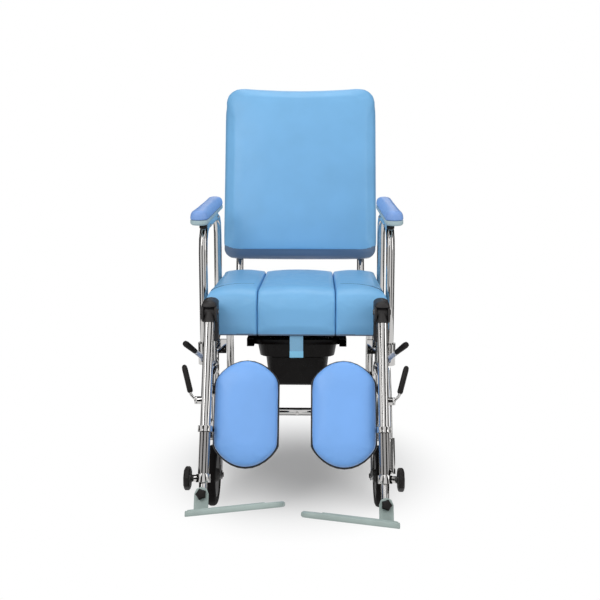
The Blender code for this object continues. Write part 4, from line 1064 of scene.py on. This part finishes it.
line = strap_line(STRAP_TOP, -STRAP_DROP + INSIDE_HEM, STRAP_GAP, STRAP_SLACK)
half = STRAP_WIDTH / 2
strip = strip_mesh("pull_strap_webbing", line, half - HEM_SIDE, STRAP_THICKNESS, STRAP_RIBS)
strap = as_piece("pull_strap_webbing", strip, strap_fabric, "seat_centre")
hem_line = strap_line(-STRAP_DROP + HEM_HEIGHT, -STRAP_DROP, STRAP_GAP + HEM_OUT, 0.0)
strip = strip_mesh("pull_strap_hem", hem_line, half, HEM_THICKNESS, HEM_STEPS)
hem = as_piece("pull_strap_hem", strip, hem_vinyl, "seat_centre")
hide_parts("pull_strap")

# %% [markdown]
# ## Bolts, rivets and tacks
# All the fasteners come from one kind of Geometry Nodes tree: a tapered head on a washer, placed on
# points that carry their own direction and size. One list per body is made into one mesh.

# %% Fastener tree


def empty_tree(name, inputs):
    """A tree with input sockets of a kind and a value, and the outputs of its first node."""
    tree = bpy.data.node_groups.new(name, "GeometryNodeTree")
    for label, (kind, value) in inputs.items():
        socket = tree.interface.new_socket(label, in_out="INPUT", socket_type=kind)
        if value is not None:
            socket.default_value = value
    tree.interface.new_socket("Geometry", in_out="OUTPUT", socket_type="NodeSocketGeometry")
    return tree, add(tree, "NodeGroupInput", {}).outputs


def placed(tree, mesh, instance, finish, turns):
    """Ends a tree: one instance on each point of a mesh, made real and painted."""
    spots = add(tree, "GeometryNodeMeshToPoints", {"Mesh": mesh})
    inputs = {"Points": spots.outputs["Points"], "Instance": instance, **turns}
    place = add(tree, "GeometryNodeInstanceOnPoints", inputs)
    real = add(tree, "GeometryNodeRealizeInstances", {"Geometry": place.outputs["Instances"]})
    inputs = {"Geometry": real.outputs["Geometry"], "Material": finish}
    paint = add(tree, "GeometryNodeSetMaterial", inputs)
    add(tree, "NodeGroupOutput", {"Geometry": paint.outputs["Geometry"]})
    return tree


HEAD_INPUTS = {
    "Geometry": ("NodeSocketGeometry", None),
    "Head height": ("NodeSocketFloat", 0.55),
    "Washer radius": ("NodeSocketFloat", 1.3),
}
HEAD_SHAPE = {"Vertices": 12, "Radius Top": 0.62, "Radius Bottom": 1.0}
WASHER_SHAPE = {"Vertices": 16, "Depth": 0.16}


def fastener_tree(finish):
    tree, start = empty_tree("fastener heads", HEAD_INPUTS)
    depth = {"Depth": start["Head height"]}
    head = add(tree, "GeometryNodeMeshCone", HEAD_SHAPE | depth)
    rims = {"Radius Top": start["Washer radius"], "Radius Bottom": start["Washer radius"]}
    washer = add(tree, "GeometryNodeMeshCone", WASHER_SHAPE | rims)
    both = add(tree, "GeometryNodeJoinGeometry", {"Geometry": head.outputs["Mesh"]})
    tree.links.new(washer.outputs["Mesh"], both.inputs["Geometry"])
    kind = "GeometryNodeInputNamedAttribute"
    facing = add(tree, kind, {"Name": "facing"}, data_type="FLOAT_VECTOR")
    size = add(tree, kind, {"Name": "size"})
    vector = {"Vector": facing.outputs["Attribute"]}
    turn = add(tree, "FunctionNodeAlignRotationToVector", vector, axis="Z")
    turns = {"Rotation": turn.outputs["Rotation"], "Scale": size.outputs["Attribute"]}
    return placed(tree, start["Geometry"], both.outputs["Geometry"], finish, turns)


def from_tree(name, mesh, tree, sizes):
    """The mesh that a tree makes of another mesh, with sizes for its sockets."""
    holder = linked(name, mesh)
    modifier = holder.modifiers.new("tree", "NODES")
    modifier.node_group = tree
    for item in tree.interface.items_tree:
        if item.in_out == "INPUT" and item.name in sizes:
            modifier[item.identifier] = sizes[item.name]
    made = evaluated_mesh(holder)
    bpy.data.objects.remove(holder)
    return made


HEADS = {slot: fastener_tree(finish_of_slot[slot]) for slot in ("chrome", "black_plastic")}


def fasteners(name, spots, body, slot="chrome"):
    """Heads at (place, direction, size), as one mesh on a body."""
    mesh = bpy.data.meshes.new(name)
    mesh.from_pydata([spot[0] for spot in spots], [], [])
    facing = mesh.attributes.new("facing", "FLOAT_VECTOR", "POINT")
    facing.data.foreach_set("vector", [value for spot in spots for value in spot[1]])
    size = mesh.attributes.new("size", "FLOAT", "POINT")
    size.data.foreach_set("value", [spot[2] for spot in spots])
    heads = from_tree(name, mesh, HEADS[slot], {})
    shade_round(heads)
    as_piece(name, heads, finish_of_slot[slot], body)


def spot(plane, point, direction, size):
    """A head's place, direction and size from its plane's own numbers."""
    return (plane @ Vector(point), (plane.to_3x3() @ Vector(direction)).normalized(), size)


# %% [markdown]
# The heads sit on faces that are known from the model: the knee pins, the axles, the armrest tubes,
# the bars behind the backrest, the calf boards and the middle of the cross tube.

# %% Bolts on each body
KNEE_HALF = 0.0187
FORK_HALF = 0.0206
ARM_TUBE_X = 0.2335
ARM_TUBE_Z = 0.682
TUBE_RADIUS = 0.011
RIVETS_Y = (0.12, 0.30)
BOARD_FACE = 0.0514
SCREW_X = 0.045
SCREW_Z = 0.07
BAR_FACE = 0.009
BAR_SCREW_X = 0.1
BARS_Z = (0.195, 0.485)
CROSS_TUBE_FRONT = (0, SEAT_FRONT_Y + 0.0895, 0.2)
HEAD_SIZES = {
    "knee": 0.0052, "axle": 0.0085, "rivet": 0.0038, "board": 0.0042, "bar": 0.0045, "bolt": 0.0042,
    "tack": 0.0032,
}


def bolts_of_side(word, mirror):
    """The fasteners that the left and right sides both have."""
    leg = LEGS[word]
    both = (-1, 1)
    size = HEAD_SIZES["knee"]
    knee = [spot(leg, (side * KNEE_HALF, 0, 0), (side, 0, 0), size) for side in both]
    fasteners(f"knee_pin_{word}", knee, f"hanger_{word}")
    for row in ("front", "rear"):
        low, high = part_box(f"{row}_hub_{word}")
        axle = []
        for side in both:
            place = (low + high) / 2 + Vector((side * FORK_HALF, 0, 0))
            axle.append(spot(PLAIN, place, (side, 0, 0), HEAD_SIZES["axle"]))
        fasteners(f"{row}_axle_nuts_{word}", axle, f"{row}_swivel_{word}", "black_plastic")
    arm = []
    for y in RIVETS_Y:
        for side in both:
            place = (ARM_TUBE_X + side * TUBE_RADIUS, y + SEAT_FRONT_Y, ARM_TUBE_Z + ARM_LIFT)
            arm.append(spot(mirror, place, (side, 0, 0), HEAD_SIZES["rivet"]))
    fasteners(f"armrest_rivets_{word}", arm, f"armrest_{word}")
    board = []
    for x in (-SCREW_X, SCREW_X):
        for z in (-SCREW_Z, SCREW_Z):
            place = (CALF_CENTRE[0] + x, BOARD_FACE, CALF_CENTRE[2] + z)
            board.append(spot(leg, place, (0, 1, 0), HEAD_SIZES["board"]))
    fasteners(f"calf_board_screws_{word}", board, f"calf_{word}")


for word, mirror in SIDES.items():
    bolts_of_side(word, mirror)
bars = []
for x in (-BAR_SCREW_X, BAR_SCREW_X):
    for z in BARS_Z:
        bars.append(spot(BACK_PLANE, (x, BAR_FACE, z), (0, 1, 0), HEAD_SIZES["bar"]))
fasteners("back_bar_screws", bars, "backrest")
bolt = spot(PLAIN, CROSS_TUBE_FRONT, (0, -1, 0), HEAD_SIZES["bolt"])
fasteners("cross_tube_bolt", [bolt], "frame")
print("bolts set")

# %% [markdown]
# ## Back cover
# Behind the cushion a black sheet closes the board. It is held by a row of tacks along its rim.

# %% Back cover and its tacks
COVER_HALF = 0.166
COVER_LOW = 0.165
COVER_HIGH = 0.655
COVER_CORNER = 0.025
CORNER_STEPS = 6
COVER_BACK = -0.0092
COVER_FRONT = -0.0108
TACK_PITCH = 0.03
TACK_INSET = 0.008


def cover_outline(inset):
    """The cover's rounded outline, drawn in by an inset."""
    radius = COVER_CORNER - inset
    side = COVER_HALF - COVER_CORNER
    top = COVER_HIGH - COVER_CORNER
    bottom = COVER_LOW + COVER_CORNER
    centres = [(side, top), (-side, top), (-side, bottom), (side, bottom)]
    points = []
    for quarter, (x, z) in enumerate(centres):
        for k in range(CORNER_STEPS + 1):
            turn = math.radians(90 * quarter + 90 * k / CORNER_STEPS)
            points.append((x + radius * math.cos(turn), z + radius * math.sin(turn)))
    return points


def plate_mesh(name, outline, front, back):
    """A flat plate with an outline, between its front and its back."""
    bm = bmesh.new()
    near = [bm.verts.new((x, front, z)) for x, z in outline]
    far = [bm.verts.new((x, back, z)) for x, z in outline]
    bm.faces.new(near)
    bm.faces.new(far[::-1])
    count = len(outline)
    for k in range(count):
        bm.faces.new((near[k], far[k], far[(k + 1) % count], near[(k + 1) % count]))
    return mesh_of(name, bm)


def even_points(outline, pitch):
    """Points a pitch apart along a closed outline."""
    walk = np.array([*outline, outline[0]])
    lengths = np.linalg.norm(np.diff(walk, axis=0), axis=1)
    along = np.concatenate(([0], np.cumsum(lengths)))
    places = np.linspace(0, along[-1], round(along[-1] / pitch), endpoint=False)
    return zip(np.interp(places, along, walk[:, 0]), np.interp(places, along, walk[:, 1]))


cover = put(plate_mesh("back_cover", cover_outline(0), COVER_FRONT, COVER_BACK), BACK_PLANE)
as_piece("back_cover", cover, edge_vinyl, "backrest")
tacks = []
for x, z in even_points(cover_outline(TACK_INSET), TACK_PITCH):
    tacks.append(spot(BACK_PLANE, (x, COVER_BACK, z), (0, 1, 0), HEAD_SIZES["tack"]))
fasteners("back_cover_tacks", tacks, "backrest")
print(len(tacks), "tacks")

# %% [markdown]
# ## Anti-slip ribs
# The footplates and the push grips both repeat one rib many times, so a tree draws the rib along a
# line of points. The footplate's rib is a bar and the grip's rib is a ring.

# %% Rib tree
RIB_INPUTS = {
    "Count": ("NodeSocketInt", 7),
    "Pitch": ("NodeSocketFloat", 0.016),
    "Size": ("NodeSocketFloat", 0.15),
    "Rib radius": ("NodeSocketFloat", 0.0016),
}


def rib_tree(name, finish, ring):
    """A tree that repeats a ring along Z, or else a bar along Y."""
    tree, start = empty_tree(name, RIB_INPUTS)
    circle = "GeometryNodeCurvePrimitiveCircle"
    if ring:
        path = add(tree, circle, {"Resolution": 28, "Radius": start["Size"]})
    else:
        far = add(tree, "ShaderNodeCombineXYZ", {"X": start["Size"]})
        path = add(tree, "GeometryNodeCurvePrimitiveLine", {"End": far.outputs["Vector"]})
    wire = add(tree, circle, {"Resolution": 8, "Radius": start["Rib radius"]})
    curves = {"Curve": path.outputs["Curve"], "Profile Curve": wire.outputs["Curve"]}
    sweep = add(tree, "GeometryNodeCurveToMesh", curves | {"Fill Caps": True})
    step = add(tree, "ShaderNodeCombineXYZ", {"Z" if ring else "Y": start["Pitch"]})
    row = {"Count": start["Count"], "Offset": step.outputs["Vector"]}
    line = add(tree, "GeometryNodeMeshLine", row)
    return placed(tree, line.outputs["Mesh"], sweep.outputs["Mesh"], finish, {})


def ribs(name, tree, sizes, place, slot, body):
    """A row of ribs from the tree, moved to its place."""
    mesh = from_tree(name, bpy.data.meshes.new(name), tree, sizes)
    as_piece(name, put(mesh, place), finish_of_slot[slot], body)


foot_tree = rib_tree("footplate ribs", mint_plastic, False)
grip_tree = rib_tree("grip ribs", black_plastic, True)

# %% [markdown]
# The footplate's ribs lie round the middle of its mount, in the mount's own plane. The grip's rings
# start near the handle's end and follow its slope.

# %% Ribs of the footplates and grips
FOOT_RIBS = {"Count": 7, "Pitch": 0.015, "Size": 0.16, "Rib radius": 0.0017}
GRIP_RIBS = {"Count": 12, "Pitch": 0.0074, "Size": 0.0158, "Rib radius": 0.0018}
GRIP_X = 0.1825
GRIP_START = (0, 0.615)
GRIP_END = (0.135, 0.645)
GRIP_LENGTH = 0.088


def mount_place(mount):
    """The corner where the first rib starts, with X along the ribs and Z out of the plate."""
    normal = Vector(mount["axis"])
    along = (Vector((1, 0, 0)) - normal * normal.x).normalized()
    across = normal.cross(along)
    half_row = FOOT_RIBS["Pitch"] * (FOOT_RIBS["Count"] - 1) / 2
    place = Matrix((along, across, normal)).transposed().to_4x4()
    place.translation = Vector(mount["pos_m"]) - along * FOOT_RIBS["Size"] / 2 - across * half_row
    return place


def grip_place(side):
    """The first ring's place on a push grip, with Z along the grip."""
    end = Vector((side * GRIP_X, *GRIP_END))
    run = (end - Vector((side * GRIP_X, *GRIP_START))).normalized()
    turn = run.to_track_quat("Z", "X").to_matrix().to_4x4()
    return BACK_PLANE @ Matrix.Translation(end - run * GRIP_LENGTH) @ turn


mounts = {mount["name"]: mount for mount in record["mounts"]}
for word, side in SIGNS.items():
    ribs(
        f"footplate_ribs_{word}", foot_tree, FOOT_RIBS, mount_place(mounts[f"foot_{word}"]),
        "footplate_plastic", f"footplate_{word}",
    )
    ribs(
        f"push_grip_ribs_{word}", grip_tree, GRIP_RIBS, grip_place(side),
        "black_plastic", "backrest",
    )
print("ribs drawn")

# %% [markdown]
# ## Armrest plugs
# A black plug sits between the front bend of each armrest tube and the base of its pad.

# %% Armrest plugs
PLUG_PROFILE = [
    (0.0, 0.0), (0.0076, 0.0), (0.0095, 0.0022), (0.0095, 0.0096), (0.0081, 0.012), (0.0, 0.012),
]
PLUG_Y = 0.052
PLUG_SINK = 0.011
PLUG_SIDES = 20
for word in SIDES:
    low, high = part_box(f"armrest_base_{word}")
    plug_z = low.z + ARM_LIFT - PLUG_SINK
    place = Matrix.Translation(((low.x + high.x) / 2, SEAT_FRONT_Y + PLUG_Y, plug_z))
    plug = put(turned("armrest_plug", PLUG_PROFILE, False, PLUG_SIDES), place)
    as_piece(f"armrest_plug_{word}", plug, black_plastic, f"armrest_{word}")
print("plugs set")
